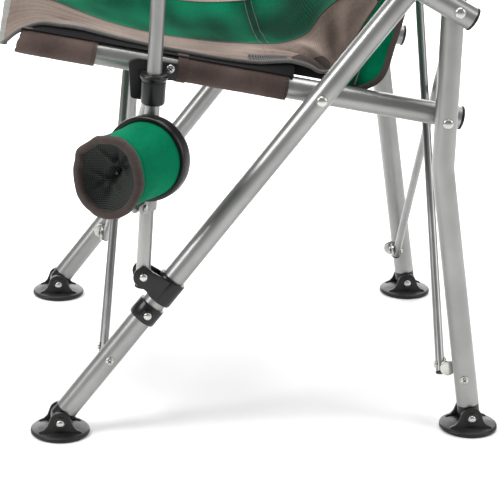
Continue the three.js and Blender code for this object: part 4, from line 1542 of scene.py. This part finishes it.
class Seat(Slung):
    """Slung seat: a green middle, taupe sides, bound edges and the sleeves that grip the rails.

    Both lines are control points as x, distance forward of the rail's pivot, and height over the rail.
    """

    side_x = 186.0
    rows = 205
    edge_line = (
        (186, 341, -9), (186, 327, 7), (186, 306, 19), (186, 285, 21), (186, 262, 22), (186, 225, 19),
        (186, 181, 17), (186, 140, 16.5), (186, 105, 16.5), (186, 71, 19), (186, 50, 24), (186, 33, 27),
        (186, 14, 25), (185, 0, 21), (182, -14, 27), (178, -27, 52), (178, -36, 80), (178, -47, 108),
    )
    seam_line = (
        (95, 341, 24), (95, 326, 27), (95, 306, 27), (95, 285, 24), (95, 262, 19), (96, 225, 13), (97, 181, 10),
        (97, 140, 11), (100, 105, 14), (106, 71, 20), (112, 50, 25), (119, 33, 32), (131, 14, 49),
        (146, 4, 78), (152, -8, 96), (156, -20, 107), (158, -33, 116), (160, -46, 124),
    )

    def lines(self) -> tuple:
        """Edge and seam as matching rows of x, forward and height."""
        return through(self.edge_line, self.rows), through(self.seam_line, self.rows)

    def middle(self, cols: int = 110) -> Array:
        """Middle panel: each row dips between its two seams as 1 minus the square of the share across.

        Args:
            cols: Columns across.

        Returns:
            The grid of the middle panel.
        """
        _, seam = self.lines()
        w = np.linspace(-1, 1, cols)[None]
        s = np.linspace(0, 1, self.rows)[:, None]
        dip = 11 * np.sin(np.pi * s) ** 0.6 * (1 - w**2)
        grid = rail_points(seam[:, :1] * w, seam[:, 1:2] - 0.35 * dip * s, seam[:, 2:] - dip)
        wave = ripple(seam[:, :1] * w * 0.8, seam[:, 1:2] * 0.9, 8, 120.0) * 1.0
        for t0, x0, t1, x1, width, by in ((40, 96, 70, -60, 9, 2.4), (20, -100, 60, 40, 9, -2.2),
                                          (95, 90, 120, -40, 10, 1.6)):
            wave = wave + crease(seam[:, :1] * w, seam[:, 1:2] + 0 * w, (x0, t0), (x1, t1), width) * by
        return grid + face_normals(grid) * (wave * (1 - w**8))[..., None]

    def flank(self, cols: int = 84) -> tuple:
        """Left side panel, seam to edge.

        Straight rulings sag as a half sine; fine lengthwise wrinkles and folds that fan out from the
        corners are laid along the surface's normal.

        Args:
            cols: Columns across.

        Returns:
            The grid and its relief.
        """
        edge, seam = self.lines()
        w = np.linspace(0, 1, cols)[None, :, None]
        line = seam[:, None] * (1 - w) + edge[:, None] * w
        line[..., 2] -= 3.2 * np.sin(np.pi * w[..., 0])
        grid = rail_points(line[..., 0], line[..., 1], line[..., 2])
        across, t = 91 * w[..., 0] + 0 * line[..., 0], line[..., 1]
        fine = ripple(across * 5.0, t * 0.5, 3, 62.0) * (0.10 + 0.34 * bell(t, 300, 80) + 0.10 * bell(t, 150, 90))
        folds = np.zeros_like(t)
        for t0, end_t, end_a, width, by in ((6, 150, 56, 5, 3.6), (2, 118, 34, 4, -2.6), (-2, 80, 14, 6, 4.2),
                                            (-6, 48, 8, 4, -3.2), (-10, 26, 6, 5, 4.4), (-16, 2, 2, 5, -3.4),
                                            (-24, -12, 4, 5, 3.0), (20, 190, 70, 5, 1.8), (0, 96, 22, 3, 2.0)):
            folds += crease(across, t, (88, t0), (end_a, end_t), width) * by * 1.25
        for end_t, end_a, width, by in ((215, 70, 5, 1.3), (195, 52, 6, -1.3), (170, 36, 7, 1.4), (235, 20, 6, -0.9)):
            folds += crease(across, t, (84, 326), (end_a, end_t), width) * by
        hug = np.clip((1 - w[..., 0]) * 9, 0, 1) * np.clip(w[..., 0] * 9, 0, 1)
        relief = (fine + folds) * hug
        return grid + face_normals(grid) * relief[..., None], relief

    def panels(self) -> tuple:
        """The middle panel and the two side panels, each a sheet.

        Returns:
            The grids of the middle and side panels.
        """
        look = self.shop.finishes
        _, seam = self.lines()
        middle, (flank, relief) = self.middle(), self.flank()
        t = seam[:, 1:2]
        w = np.linspace(-1, 1, middle.shape[1])[None]
        # Tone: darker along both seams, painted shade deepening towards the rear of the seat, random mottling, and a
        # darker line at the seam near 54 mm forward.
        tone = 0.5 * (1 - np.clip((1 - np.abs(w)) * 40, 0, 1)) + 0.30 * np.clip((235 - t) / 200, 0, 1.2) * (1 - w**4)
        tone = tone + 0.16 * np.clip(ripple(w * 60, t * 1.2, 21, 90.0), -1, 1) + 0.2 * bell(t, 54, 6)
        uv = np.stack([95 * w + 0 * t, t + 0 * w], -1) * MM
        self.sheet("seat_middle", middle, look.green, "seat_fabric", uv, 1.3, tone, ["seat_panel"])
        w = np.linspace(0, 1, flank.shape[1])[None]
        # Tone: darker at the seam, random mottling, painted shade towards the rear end, and painted shade in the fold
        # valleys (lighter on the ridges) from the relief.
        tone = 0.5 * (1 - np.clip(w * 40, 0, 1)) + 0.1 * np.clip(ripple(w * 80, t * 0.6, 25, 60.0), -1, 1)
        tone = tone + 0.10 * np.clip((30 - t) / 40, 0, 1) - 0.075 * relief
        uv = np.stack([91 * w + 0 * t, t + 0 * w], -1) * MM
        self.sheet("seat_side_left", flank, look.taupe, "seat_fabric", uv, 1.3, tone)
        self.sheet("seat_side_right", (flank * [-1, 1, 1])[:, ::-1], look.taupe, "seat_fabric", uv[:, ::-1], 1.3,
                   tone[:, ::-1])
        return middle, flank

    def edges(self, middle: Array, flank: Array) -> None:
        """Grey bound edges, a black sheet below them that is painted shade under the seat's edge, front hem, seams
        and stitching.

        Args:
            middle: Grid of the middle panel.
            flank: Grid of the side panel.
        """
        look = self.shop.finishes
        up = np.array([0, *heading(LAY.rail_angle + 90)])
        edge, _ = self.lines()
        turn = int(np.argmax(edge[:, 1] < -12))
        normal = face_normals(flank)
        rim = flank[:turn, -1] + np.array([1.2, 0, 0]) + up * 0.6
        depth = np.linspace(0, 1, 6)[None]
        span = edge[13:turn - 4]
        wide = np.where(span[:, 1:2] < 30, 189, 199.5)
        # A black sheet from just under the seat's edge down onto the rail: painted shade beneath the overhanging
        # seat.
        edge_shade_grid = rail_points(self.side_x - 2 + (wide - self.side_x + 2) * depth, span[:, 1:2] - 1,
                           span[:, 2:] - 2.2 + (14.1 - span[:, 2:] + 2.2) * depth ** 1.3)
        edge_shade_sheet = cloth(edge_shade_grid, 0.8, np.zeros(edge_shade_grid.shape[:2] + (2,)))
        tapes = carried(rim, pill(4.2, 4.6, 18, 2.4), up)
        threads = [stitches(flank[:turn, -5] + normal[:turn, -5] * 0.75, up)]
        threads.append(stitches(flank[:, 4] + normal[:, 4] * 0.75, up))
        seams = [carried(flank[:, 0] + normal[:, 0] * 0.5, pill(1.7, 1.5, 10, 2), up),
                 carried(flank[turn:, -1] + np.array([0.5, 0, 0]), pill(1.8, 1.8, 10, 2), up)]
        low, high = (int(np.argmin(np.abs(edge[:, 1] - t))) for t in (79, 37))
        patch = flank[low:high, -19:-1] + normal[low:high, -19:-1] * 1.6
        tile = np.stack(np.meshgrid(np.arange(patch.shape[0]), np.arange(patch.shape[1]), indexing="ij"), -1)
        mesh_tab = cloth(patch, 0.8, tile * 0.0011)
        low, high = (int(np.argmin(np.abs(edge[:, 1] - t))) for t in (33, -10))
        fold = flank[low:high, -26:-1] + normal[low:high, -26:-1] * 2.0
        shape = np.linspace(0, 1, fold.shape[0])[:, None]
        share = np.linspace(0, 1, fold.shape[1])[None]
        fold = fold[:, -1:] + (fold - fold[:, -1:]) * (0.35 + 0.65 * np.sin(np.pi * shape) ** 0.6)[..., None]
        fold = fold + np.array([1.0, 0, 0]) * (0.8 * share)[..., None]
        corner_tab = cloth(fold, 1.0, np.stack([shape + 0 * share, share + 0 * shape], -1) * 0.04)
        both = lambda skin: joined([skin, skin.mirrored()])
        self.across("seat_edge_binding", both(tapes), look.edge_tape, "seat_fabric")
        # The black sheet under each edge is painted shade.
        self.across("seat_edge_shade_sheet", both(edge_shade_sheet), look.black_cloth, "seat_fabric")
        self.across("seat_mesh_tab", both(mesh_tab), look.grey_net, "seat_fabric")
        self.across("seat_corner_tab", both(corner_tab), look.dark_tape, "seat_fabric")
        self.across("seat_seam_cord", both(joined(seams)), look.dark_tape, "seat_fabric")
        row = lambda i: np.vstack([(flank[i] * [-1, 1, 1])[::-1][:-1], middle[i], flank[i][1:]])
        over = lambda i: row(i) + up * 0.85
        self.across("seat_front_hem", carried(row(0) + up * 0.2, pill(9.5, 3.0, 20, 3.0), up), look.grey_tape,
                    "seat_fabric")
        self.across("seat_rear_binding", carried(row(-1), pill(5.0, 3.0, 18, 3.0), up), look.dark_tape, "seat_fabric")
        near = [int(np.argmin(np.abs(edge[:, 1] - t))) for t in (332.0, 58.0, 50.0)]
        threads += [stitches(over(i), up) for i in near]
        self.across("seat_stitching", both(joined(threads)), look.thread, "seat_fabric")

    def tunnel(self, t0: float, t1: float, seed: int, ragged: bool) -> Array:
        """Grid of a sleeve wrapped round the rail, open along its inner top.

        The radius is a little over the tube's, with ripples; a ragged end wavers with the angle.

        Args:
            t0: Front end along the rail.
            t1: Rear end along the rail.
            seed: Number that picks the pattern.
            ragged: Whether the end is uneven.

        Returns:
            Grid of the tunnel.
        """
        turn = np.radians(np.linspace(118, 118 - 346, 64))
        share = np.linspace(0, 1, 80)[:, None]
        end = t1 + (2.4 * np.sin(turn + 2.6) + 1.0 * np.sin(turn * 4 + 2) if ragged else 0.35 * np.sin(turn * 5))
        t = t0 + (end - t0) * share
        around = turn[None] * 14.5
        radius = 13.7 + 0.14 * ripple(t * 0.5, around * 1.6, seed, 40.0) + 0.05 * ripple(t * 2, around,
                                                                                         seed + 1, 30.0)
        radius = radius + 0.4 * bell(np.sin(turn[None] + 0.4), -1, 0.5)
        if ragged:
            radius = radius - 1.5 * np.clip((t - (t1 - 12)) / 14, 0, 1) ** 2 * (1 + np.sin(turn[None] * 2))
        wide = np.broadcast_to(turn, t.shape)
        return rail_points(LAY.rail_x + radius * np.cos(wide), t, radius * np.sin(wide))

    def grips(self) -> None:
        """Sleeves round the rails, in front of and behind the bare stretch, with hems and stitches."""
        look = self.shop.finishes
        for name, t0, t1, seed, ragged in (("front", 243, 325, 31, True), ("rear", 34, 146, 47, False)):
            grid = self.tunnel(t0, t1, seed, ragged)
            arc = np.linspace(0, 1, grid.shape[0])[:, None] * (t1 - t0) + np.zeros(grid.shape[1])
            uv = np.stack([arc, np.zeros_like(arc) + np.linspace(0, 87, grid.shape[1])], -1) * MM
            tone = 0.4 * bell(arc, 3.5, 1.2) + 0.2 * np.clip(ripple(arc, uv[..., 1] / MM, seed + 5, 60.0), -1, 1)
            self.sides(f"seat_sleeve_{name}", cloth(grid, 1.1, uv, tone), look.brown, grid)
        band = self.tunnel(144.5, 156, 61, False)
        centre = rail_points(LAY.rail_x, 150.0, 0.0)
        band = centre + (band - centre) * np.array([1.05, 1.0, 1.05])
        self.sides("seat_sleeve_band", cloth(band, 1.5, np.zeros(band.shape[:2] + (2,))), look.brown, band)
        turn = np.radians(np.linspace(100, -200, 90))
        for name, at in (("front_end", 246.5), ("band_end", 146.5), ("rear_end", 38.0)):
            line = rail_points(LAY.rail_x + 15.0 * np.cos(turn), at, 15.0 * np.sin(turn))
            up = line - rail_points(LAY.rail_x, at, 0.0)
            skin = stitches(line, up, 3.0)
            self.shop.both(f"sleeve_stitch_{name}", skin, look.thread, "seat_fabric", "rail")

    def sides(self, name: str, skin: Skin, material: bpy.types.Material, grid: Array) -> None:
        """A sheet on each rail."""
        width, length, area = sheet_size(grid)
        for made in self.shop.both(name, skin, material, "seat_fabric", "rail"):
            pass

    def build(self) -> None:
        """Makes the whole seat."""
        middle, flank = self.panels()
        self.edges(middle, flank)
        self.grips()


class Back(Slung):
    """Slung back: the same green middle and taupe sides, sleeves on the uprights, and lower corner gussets."""

    seam_x = 95.0
    corner_x = 177.0

    def profile(self, count: int) -> Array:
        """Side-view line of the back, bottom to top."""
        knee = LAY.leg_at(LAY.bend_height)
        line = [(88, 391), (99, 432), (112, 480), (137, 524), tuple(step(knee, LAY.leg_angle, -6, 6)),
                tuple(step(LAY.leg_at(LAY.bend_height), LAY.back_angle, 60, 6)),
                tuple(step(LAY.upright_top, LAY.back_angle, -15, 4))]
        return smooth_line(line, count)

    def grid(self, x0: float, x1: float, cols: int, count: int = 200) -> tuple:
        """Points of a strip of the back, with their flat places.

        The strip widens to the uprights above the bend, bows back in the middle as 1 minus the square of
        x, and carries broad ripples and folds that fan out from the lower corners.

        Args:
            x0: First edge of the strip across the flat cloth.
            x1: Other edge of the strip.
            cols: Columns across.
            count: Rows up the back.

        Returns:
            The points, and the flat place of each across and up the cloth.
        """
        line = self.profile(count)
        v = np.linspace(0, 1, count)[:, None]
        u = np.linspace(x0, x1, cols)[None]
        widen = self.corner_x + (self.edge - self.corner_x) * np.clip((v - 0.12) / 0.25, 0, 1) ** 1.2
        seam = 100 + 55 * np.exp(-((v / 0.22) ** 2))
        x = np.where(np.abs(u) <= self.seam_x, u * seam / self.seam_x,
                     np.sign(u) * (seam + (np.abs(u) - self.seam_x) / (self.edge - self.seam_x) * (widen - seam)))
        bow = 28 * (1 - np.clip(np.abs(x) / self.edge, 0, 1) ** 2) * np.clip(v * 3, 0.12, 1)
        waves = ripple(u * 0.7, v * 560 * 0.8, 12, 120.0) * 1.3 + ripple(u * 0.5, v * 560 * 3, 14, 90.0) * 0.4
        folds = np.zeros_like(bow)
        for end_x, end_v, width, by in ((120, 0.32, 9, 3.0), (85, 0.2, 8, -2.6), (60, 0.12, 9, 2.4),
                                        (150, 0.4, 7, -1.8)):
            folds = folds + crease(np.abs(x), v * 560, (176, 6), (end_x, end_v * 560), width) * by
        normal = np.gradient(line, axis=0)
        normal = np.stack([normal[:, 1], -normal[:, 0]], 1)
        normal /= np.linalg.norm(normal, axis=1, keepdims=True)
        edge_in = np.clip((self.edge - np.abs(u)) / 14, 0, 1)
        off = bow + (waves + folds) * edge_in
        points = np.empty(x.shape + (3,))
        points[..., 0] = x
        points[..., 1] = line[:, :1] + normal[:, :1] * off
        points[..., 2] = line[:, 1:] + normal[:, 1:] * off
        return points, u + 0 * v, v * 560 + 0 * u

    def panels(self) -> None:
        """Middle and side panels."""
        look = self.shop.finishes
        for name, x0, x1, cols, material in (
            ("back_middle", -self.seam_x, self.seam_x, 90, look.green),
            ("back_side_left", self.seam_x, self.edge, 56, look.taupe),
            ("back_side_right", -self.edge, -self.seam_x, 56, look.taupe),
        ):
            grid, u, v = self.grid(x0, x1, cols)
            tone = 0.5 * bell(np.abs(u), self.seam_x, 1.6) + 0.4 * bell(v, 12, 1.5) + 0.4 * bell(v, 548, 1.5)
            tone = tone + 0.1 * np.clip(ripple(u, v, 77, 120.0), -1, 1)
            nodes = ["back_panel"] if name == "back_middle" else []
            self.sheet(name, grid, material, "back_fabric", np.stack([u, v], -1) * MM, 1.3, tone, nodes)

    def trims(self) -> None:
        """Seam cords, hems and stitching of the back."""
        look = self.shop.finishes
        grid, u, _ = self.grid(-self.edge, self.edge, 240)
        normal = np.cross(np.gradient(grid, axis=1), np.gradient(grid, axis=0))
        normal /= np.linalg.norm(normal, axis=-1, keepdims=True)
        cords, threads = [], []
        for sign in (1, -1):
            col = int(np.argmin(np.abs(u[0] - sign * self.seam_x)))
            for face in (1, -1):
                cords.append(carried(grid[:, col] + normal[:, col] * 0.7 * face, pill(1.7, 1.6, 10, 2),
                                     normal[:, col]))
                near = int(np.argmin(np.abs(u[0] - sign * (self.seam_x + 4))))
                threads.append(stitches(grid[:, near] + normal[:, near] * 0.8 * face, normal[:, near] * face))
        for row in (5, -6, -10):
            for face in (1, -1):
                threads.append(stitches(grid[row, 2:-2] + normal[row, 2:-2] * 0.8 * face, normal[row, 2:-2] * face))
        self.across("back_seam_cord", joined(cords), look.dark_tape, "back_fabric")
        self.across("back_stitching", joined(threads), look.thread, "back_fabric")
        self.across("back_lower_binding", carried(grid[0], pill(7.4, 3.4, 18, 3.0), np.cross(
            np.gradient(grid[0], axis=0), grid[1] - grid[0])), look.dark_tape, "back_fabric")
        self.across("back_top_binding", carried(grid[-1], pill(9.0, 3.6, 18, 3.0), np.cross(
            np.gradient(grid[-1], axis=0), grid[-1] - grid[-2])), look.grey_tape, "back_fabric")

    def sleeves(self) -> None:
        """Cloth sleeves round the upper uprights, with a darker hem band at each end."""
        look = self.shop.finishes
        start, end = step(LAY.leg_at(LAY.bend_height), LAY.back_angle, 52), step(LAY.upright_top, LAY.back_angle, -4)
        share = np.linspace(0, 1, 120)[:, None]
        run = heading(LAY.back_angle)
        side = np.array([-run[1], run[0]])
        turn = np.radians(np.linspace(178, 178 - 352, 56))[None]
        length = float(np.linalg.norm(end - start))
        radius = 14.2 + 0.4 * ripple(share * length * 0.6, turn * 22, 91, 45.0)
        line = start + share * (end - start)
        across, deep = radius * np.cos(turn), radius * np.sin(turn)
        grid = np.stack([LAY.leg_x + across, line[:, :1] + side[0] * deep, line[:, 1:] + side[1] * deep], -1)
        arc = share * length + 0 * turn
        uv = np.stack([arc, 14 * turn + 0 * share], -1) * MM
        tone = 0.4 * bell(arc, 6, 1.2) + 0.4 * bell(arc, length - 6, 1.2)
        width, tall, area = sheet_size(grid)
        for made in self.shop.both("back_sleeve", cloth(grid, 1.1, uv, tone), look.taupe, "back_fabric", "frame"):
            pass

    def gussets(self) -> None:
        """Lower corner gussets: green cloth ruled from the seat's seam to the back's bound edge."""
        look = self.shop.finishes
        seam = smooth_line([(184, 58, 403), (181, 71, 415), (178, 81, 432), (178, 93, 453), (178, 112, 485),
                            (178, 134, 524)], 70)
        rear = smooth_line([(176, 63, 394), (175, 84, 386), (175, 103, 389), (175, 119, 402), (175, 129, 437),
                            (176, 141, 486), (177, 150, 524)], 70)
        cols = np.linspace(0, 1, 40)[None]
        rows = np.linspace(0, 1, 70)[:, None]
        flat = seam[:, None] * (1 - cols[..., None]) + rear[:, None] * cols[..., None]
        puff = 3.5 * np.sin(np.pi * cols) * np.sin(np.pi * rows)
        puff = puff + 1.1 * ripple(flat[..., 1] * 1.4, flat[..., 2] * 0.7, 9, 60.0) * np.sin(np.pi * cols)
        grid = flat - np.array([1.0, 0, 0]) * puff[..., None]
        # Tone: random mottling and painted shade that deepens towards the lower rear corner.
        tone = 0.15 * np.clip(ripple(flat[..., 1], flat[..., 2], 12, 50.0), -1, 1) + 0.35 * cols * (1 - rows)
        width, tall, area = sheet_size(grid)
        skin = cloth(grid, 1.2, flat[..., 1:] * MM, tone)
        shop = self.shop
        for made in shop.both("corner_gusset", skin, look.green_cup, "back_fabric", "frame"):
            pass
        out = np.array([1.0, 0, 0])
        shop.both("corner_binding", carried(rear, pill(7.0, 3.2, 18, 3.0), out), look.dark_tape, "back_fabric",
                  "frame")

    def build(self) -> None:
        """Makes the whole back."""
        self.panels()
        self.trims()
        self.sleeves()
        self.gussets()


class CupHolder:
    """Hinged ring on the left post with a sewn cup pocket that swings forward to pack flat."""

    centre = (250.0, -140.0, 329.0)
    turn = -27.0

    def out(self) -> Array:
        """Direction the pocket's mouth faces away from, level."""
        a = math.radians(self.turn)
        return np.array([math.cos(a), math.sin(a), 0.0])

    def axis(self) -> Array:
        """Axis of the pocket: out from the ring, a touch upward."""
        axis = self.out() + np.array([0, 0, 0.06])
        return axis / np.linalg.norm(axis)

    def frame(self) -> tuple:
        """Two unit vectors across the pocket's axis: level and upward."""
        axis = self.axis()
        level = np.cross([0, 0, 1.0], axis)
        level /= np.linalg.norm(level)
        return level, np.cross(axis, level)

    def wall(self) -> Array:
        """Grid of the pocket's side: a tube that narrows a little, slackens and dips between seams.

        Returns:
            Grid of the wall.
        """
        level, up = self.frame()
        d = np.linspace(0, 1, 90)[:, None]
        a = np.linspace(0, 2 * np.pi, 129)[None, :-1]
        r = 40.0 - 1.0 * d + 0.9 * ripple(a * 40 * 0.9, d * 95 * 0.7, 41, 60.0) * np.sin(np.pi * d) ** 0.6
        for turn, wide, by in ((4.2, 0.35, 1.8), (1.1, 0.2, 1.6), (0.35, 0.16, 1.5), (1.9, 0.22, 1.3),
                               (5.6, 0.3, 1.2)):
            r = r - by * bell(a + 0.5 * (d - 0.5), turn, wide) * np.sin(np.pi * d) ** 0.8
        depth = 5 + 91 * d
        base = np.array(self.centre) + depth[..., None] * self.axis()
        narrow, tall = 1 - 0.12 * d**1.5, 1 + 0.04 * d**1.5
        return base + (r * narrow * np.cos(a))[..., None] * level + (r * tall * np.sin(a))[..., None] * up

    def build(self, shop: Workshop) -> None:
        """Makes ring, pocket, trims, net bottom and clamp."""
        look = shop.finishes
        level, up = self.frame()
        axis, mid = self.axis(), np.array(self.centre)
        a = np.linspace(0, 2 * np.pi, 96, endpoint=False)[:, None]
        spokes = np.cos(a) * level + np.sin(a) * up
        hoop = carried(mid - axis * 1.5 + spokes * 43.0, pill(6.0, 18.0, 24, 5.0),
                       up=np.broadcast_to(axis, (96, 3)), closed=True)
        shop.piece("cup_hoop", hoop, look.gloss, "black_plastic", "cup", ["cup_ring"])
        grid = self.wall()
        ring_grid = np.concatenate([grid, grid[:, :1]], 1)
        tone_d = np.linspace(0, 96, 90)[:, None] + np.zeros(129)
        around = np.linspace(0, 252, 129)[None] + np.zeros((90, 1))
        tone = 0.35 * bell(tone_d, 82, 1.0) + 0.25 * bell(around, 170, 1.3)
        skin = cloth(ring_grid, 1.3, np.stack([around, tone_d], -1) * MM, tone)
        pocket = shop.piece("cup_pocket_wall", skin, look.green_cup, "pocket_fabric", "cup", ["cup_pocket"])
        width, length, area = sheet_size(ring_grid)
        self.trims(shop, grid, level, up)
        self.clamp(shop)

    def trims(self, shop: Workshop, grid: Array, level: Array, up: Array) -> None:
        """Wrinkled binding round the pocket's bottom, net sunk into it, side seam and stitches.

        Args:
            shop: Workshop that makes the pieces.
            grid: Grid of points along the cloth.
            level: Unit direction level across the pocket.
            up: Unit direction upward across the pocket.
        """
        look = shop.finishes
        axis, mid = self.axis(), np.array(self.centre)
        a = np.linspace(0, 2 * np.pi, 160, endpoint=False)
        wave = ripple(a * 38, 0 * a, 57, 60.0)[:, None]
        level_r, up_r = 33.9 + 0.6 * ripple(a * 34, 0 * a, 59, 44.0), 39.6 + 0.6 * ripple(a * 38, 0 * a, 63, 40.0)
        corner = 4.0 * bell(a, 2.55, 0.16)
        oval = (np.cos(a) * (level_r + corner))[:, None] * level + (np.sin(a) * (up_r + 0.4 * corner))[:, None] * up
        loop = mid + axis * (95.5 + 1.4 * wave) + oval
        prof = pill(8.5, 12.5, 24, 2.6)
        swell = 1 + 0.05 * ripple(a[:, None] * 38, np.arange(24)[None] * 0.9, 71, 18.0)
        bead = carried(loop, prof[None] * swell[..., None], up=np.broadcast_to(axis, loop.shape), closed=True)
        shop.piece("cup_pocket_binding", bead, look.dark_tape, "pocket_fabric", "cup")
        r = np.linspace(0, 36.5, 44)[:, None]
        b = np.linspace(0, 2 * np.pi, 97)[None]
        sink = -20 * (1 - (r / 36.5) ** 2) - 2 + 1.6 * ripple(r * np.cos(b), r * np.sin(b), 81, 34.0) * np.sin(
            np.pi * r / 36.5)
        across, rise = r * np.cos(b), r * np.sin(b)
        for start, end, width, by in (((-30, -20), (30, 22), 5, -7), ((-22, 28), (26, -12), 4, 6),
                                      ((4, 33), (-8, -32), 4, -6),
                                      ((30, 14), (-12, 8), 3, 5), ((-32, 4), (16, -24), 4, 5),
                                      ((20, 28), (-4, -4), 3, -4)):
            sink = sink + by * crease(across, rise, start, end, width)
        net = mid + (96.0 + sink)[..., None] * axis + (0.93 * r * np.cos(b))[..., None] * level + (
            1.07 * r * np.sin(b))[..., None] * up
        net = net[1:]
        uv = np.stack([r * np.cos(b), r * np.sin(b)], -1)[1:] * MM
        shop.piece("cup_pocket_net", cloth(net, 0.9, uv), look.net, "pocket_fabric", "cup")
        plug = mid + axis * (96.0 - 21.0)
        shop.piece("cup_net_knot", turned([[0, -0.5], [1.6, -0.5], [1.6, 0.5], [0, 0.7]], plug, axis, 16), look.net,
                   "pocket_fabric", "cup")
        hem = np.vstack([grid[-7], grid[-7, :1]])
        out = hem - (mid + axis * ((hem - mid) @ axis)[:, None])
        rows = [stitches(hem + 0.9 * out / np.linalg.norm(out, axis=1, keepdims=True), out, 3.0)]
        seam = grid[:, 86]
        rows.append(stitches(seam + (level * np.cos(4.2) + up * np.sin(4.2)) * 0.8,
                             level * np.cos(4.2) + up * np.sin(4.2), 3.0))
        shop.piece("cup_stitching", joined(rows), look.green_thread, "pocket_fabric", "cup")

    def clamp(self, shop: Workshop) -> None:
        """Light clamp on the post, under the ring, with two ears, a pin and a lug up to the ring."""
        look = shop.finishes
        along = (272.0 - LAY.post_pivot[1]) / heading(LAY.post_angle)[1]
        centre = lift(LAY.post_x, LAY.on_post(along))
        run = heading(LAY.post_angle)
        band = turned(soft_profile([[8.2, -8], [10.4, -8], [10.8, -6], [10.8, 6], [10.4, 8], [8.2, 8],
                                    [8.2, -8]], 0.5),
                      centre, np.array([0, run[0], run[1]]), 40)
        out = self.out()
        side = np.cross([0, 0, 1.0], out)
        parts = [band]
        for sign in (1, -1):
            base = centre + side * sign * 4.6
            nose = [[8 + 13 + 7.5 * math.cos(t), 7.5 * math.sin(t)] for t in np.linspace(-np.pi / 2, np.pi / 2, 12)]
            ear = np.array(nose + [[7, 8.0], [7, -8.0]])
            rows = []
            for depth, inset in ((-1.6, 0.6), (-1.2, 0.0), (1.2, 0.0), (1.6, 0.6)):
                flat = ear * np.array([1, 1 - inset / 8]) - np.array([inset, 0])
                rows.append(base + flat[:, :1] * out + flat[:, 1:] * np.array([0, 0, 1.0]) + side * depth)
            m = len(ear)
            faces = grid_faces(4, m, wrap_cols=True) + [list(range(m))[::-1], [3 * m + k for k in range(m)]]
            parts.append(outward(Skin.of(np.vstack(rows), faces)))
        shop.piece("cup_clamp_band", joined(parts), look.clamp, "zinc_steel", "left_post", ["cup_clamp"])
        pin_at = centre + out * 21
        pin = turned(soft_profile([[0, -9], [3.6, -9], [3.6, -7], [2.4, -7], [2.4, 7], [3.6, 7], [3.6, 9],
                                   [0, 9]], 0.4),
                     pin_at, side, 20)
        shop.piece("cup_clamp_pin", pin, look.zinc, "zinc_steel", "left_post")
        mid, down = np.array(self.centre), np.array([0, 0, -1.0])
        top, low = mid + down * 41 , pin_at
        share = np.linspace(0, 1, 12)[:, None]
        lug = carried(low + share * (top - low), pill(5.0, 13.0, 20, 3.0), up=out)
        shop.piece("cup_hoop_lug", lug, look.gloss, "black_plastic", "cup")


# ---------------------------------------------------------------- studio


class Studio:
    """Camera, floor and soft lights."""

    eye = (2.2446, -0.2627, 0.9521)
    look = (-0.93755, 0.0982, -0.33369)
    roll = 1.82
    lens = 145.43

    def camera(self) -> None:
        """Places the camera: right is the view direction crossed with up, turned by the roll."""
        data = bpy.data.cameras.new("camera")
        data.lens, data.sensor_width, data.clip_end = self.lens, 36.0, 30.0
        made = bpy.data.objects.new("camera", data)
        bpy.context.scene.collection.objects.link(made)
        ahead = Vector(self.look).normalized()
        right = ahead.cross(Vector((0, 0, 1))).normalized()
        up = right.cross(ahead)
        c, s = math.cos(math.radians(self.roll)), math.sin(math.radians(self.roll))
        right, up = right * c + up * s, up * c - right * s
        made.matrix_world = Matrix.Translation(self.eye) @ Matrix((right, up, -ahead)).transposed().to_4x4()
        bpy.context.scene.camera = made

    def lamp(self, name: str, place: Sequence[float], target: Sequence[float], size: float, power: float,
             tall: float = 0.0) -> None:
        """A soft rectangular light aimed at a point.

        Args:
            name: Name of the lamp.
            place: Where the lamp stands, in metres.
            target: Where it points.
            size: Width of the lamp.
            power: Its power in watts.
            tall: Height of the lamp; nought makes it square.
        """
        data = bpy.data.lights.new(name, "AREA")
        data.shape, data.size, data.size_y, data.energy = "RECTANGLE", size, tall or size, power
        made = bpy.data.objects.new(name, data)
        bpy.context.scene.collection.objects.link(made)
        made.location = place
        made.rotation_euler = (Vector(target) - Vector(place)).to_track_quat("-Z", "Y").to_euler()

    def build(self, finishes: Finishes) -> None:
        """Makes floor, world light and lamps.

        Args:
            finishes: The finishes in use.
        """
        self.camera()
        half = 9.0
        mesh = bpy.data.meshes.new("floor")
        mesh.from_pydata([(-half, -half, 0), (half, -half, 0), (half, half, 0), (-half, half, 0)], [], [(0, 1, 2, 3)])
        mesh.materials.append(finishes.floor)
        floor = bpy.data.objects.new("floor", mesh)
        bpy.context.scene.collection.objects.link(floor)
        world = bpy.data.worlds.new("studio")
        world.use_nodes = True
        world.node_tree.nodes["Background"].inputs[0].default_value = (1, 1, 1, 1)
        world.node_tree.nodes["Background"].inputs[1].default_value = 0.34
        bpy.context.scene.world = world
        bpy.context.scene.view_settings.view_transform = "Standard"
        self.lamp("back_wall", (-2.6, 0.0, 1.2), (0, 0, 0.4), 3.4, 95, 2.2)
        self.lamp("top", (-0.3, 0.0, 2.8), (0, 0, 0.3), 2.4, 95)
        self.lamp("key", (0.9, -2.3, 1.9), (0, 0, 0.4), 0.9, 50, 1.4)
        self.lamp("side", (0.9, 2.4, 1.5), (0, 0, 0.4), 0.9, 26, 1.6)


def main() -> None:
    """Builds the studio and every sub-assembly."""
    logging.basicConfig(level=logging.INFO, format="%(name)s %(message)s")
    studio = Studio()
    finishes = Finishes()
    studio.build(finishes)
    shop = Workshop(finishes)
    for part in (FrameTubes(), Feet(), Hardware(), Fittings(), CrossRods(), ArmPads(), CupHolder()):
        part.build(shop)
    Seat(shop, "left_rail", Seat.side_x).build()
    Back(shop, "left_frame", 205.0).build()
    LOG.info("made %d pieces", shop.count)


if __name__ == "__main__":
    main()
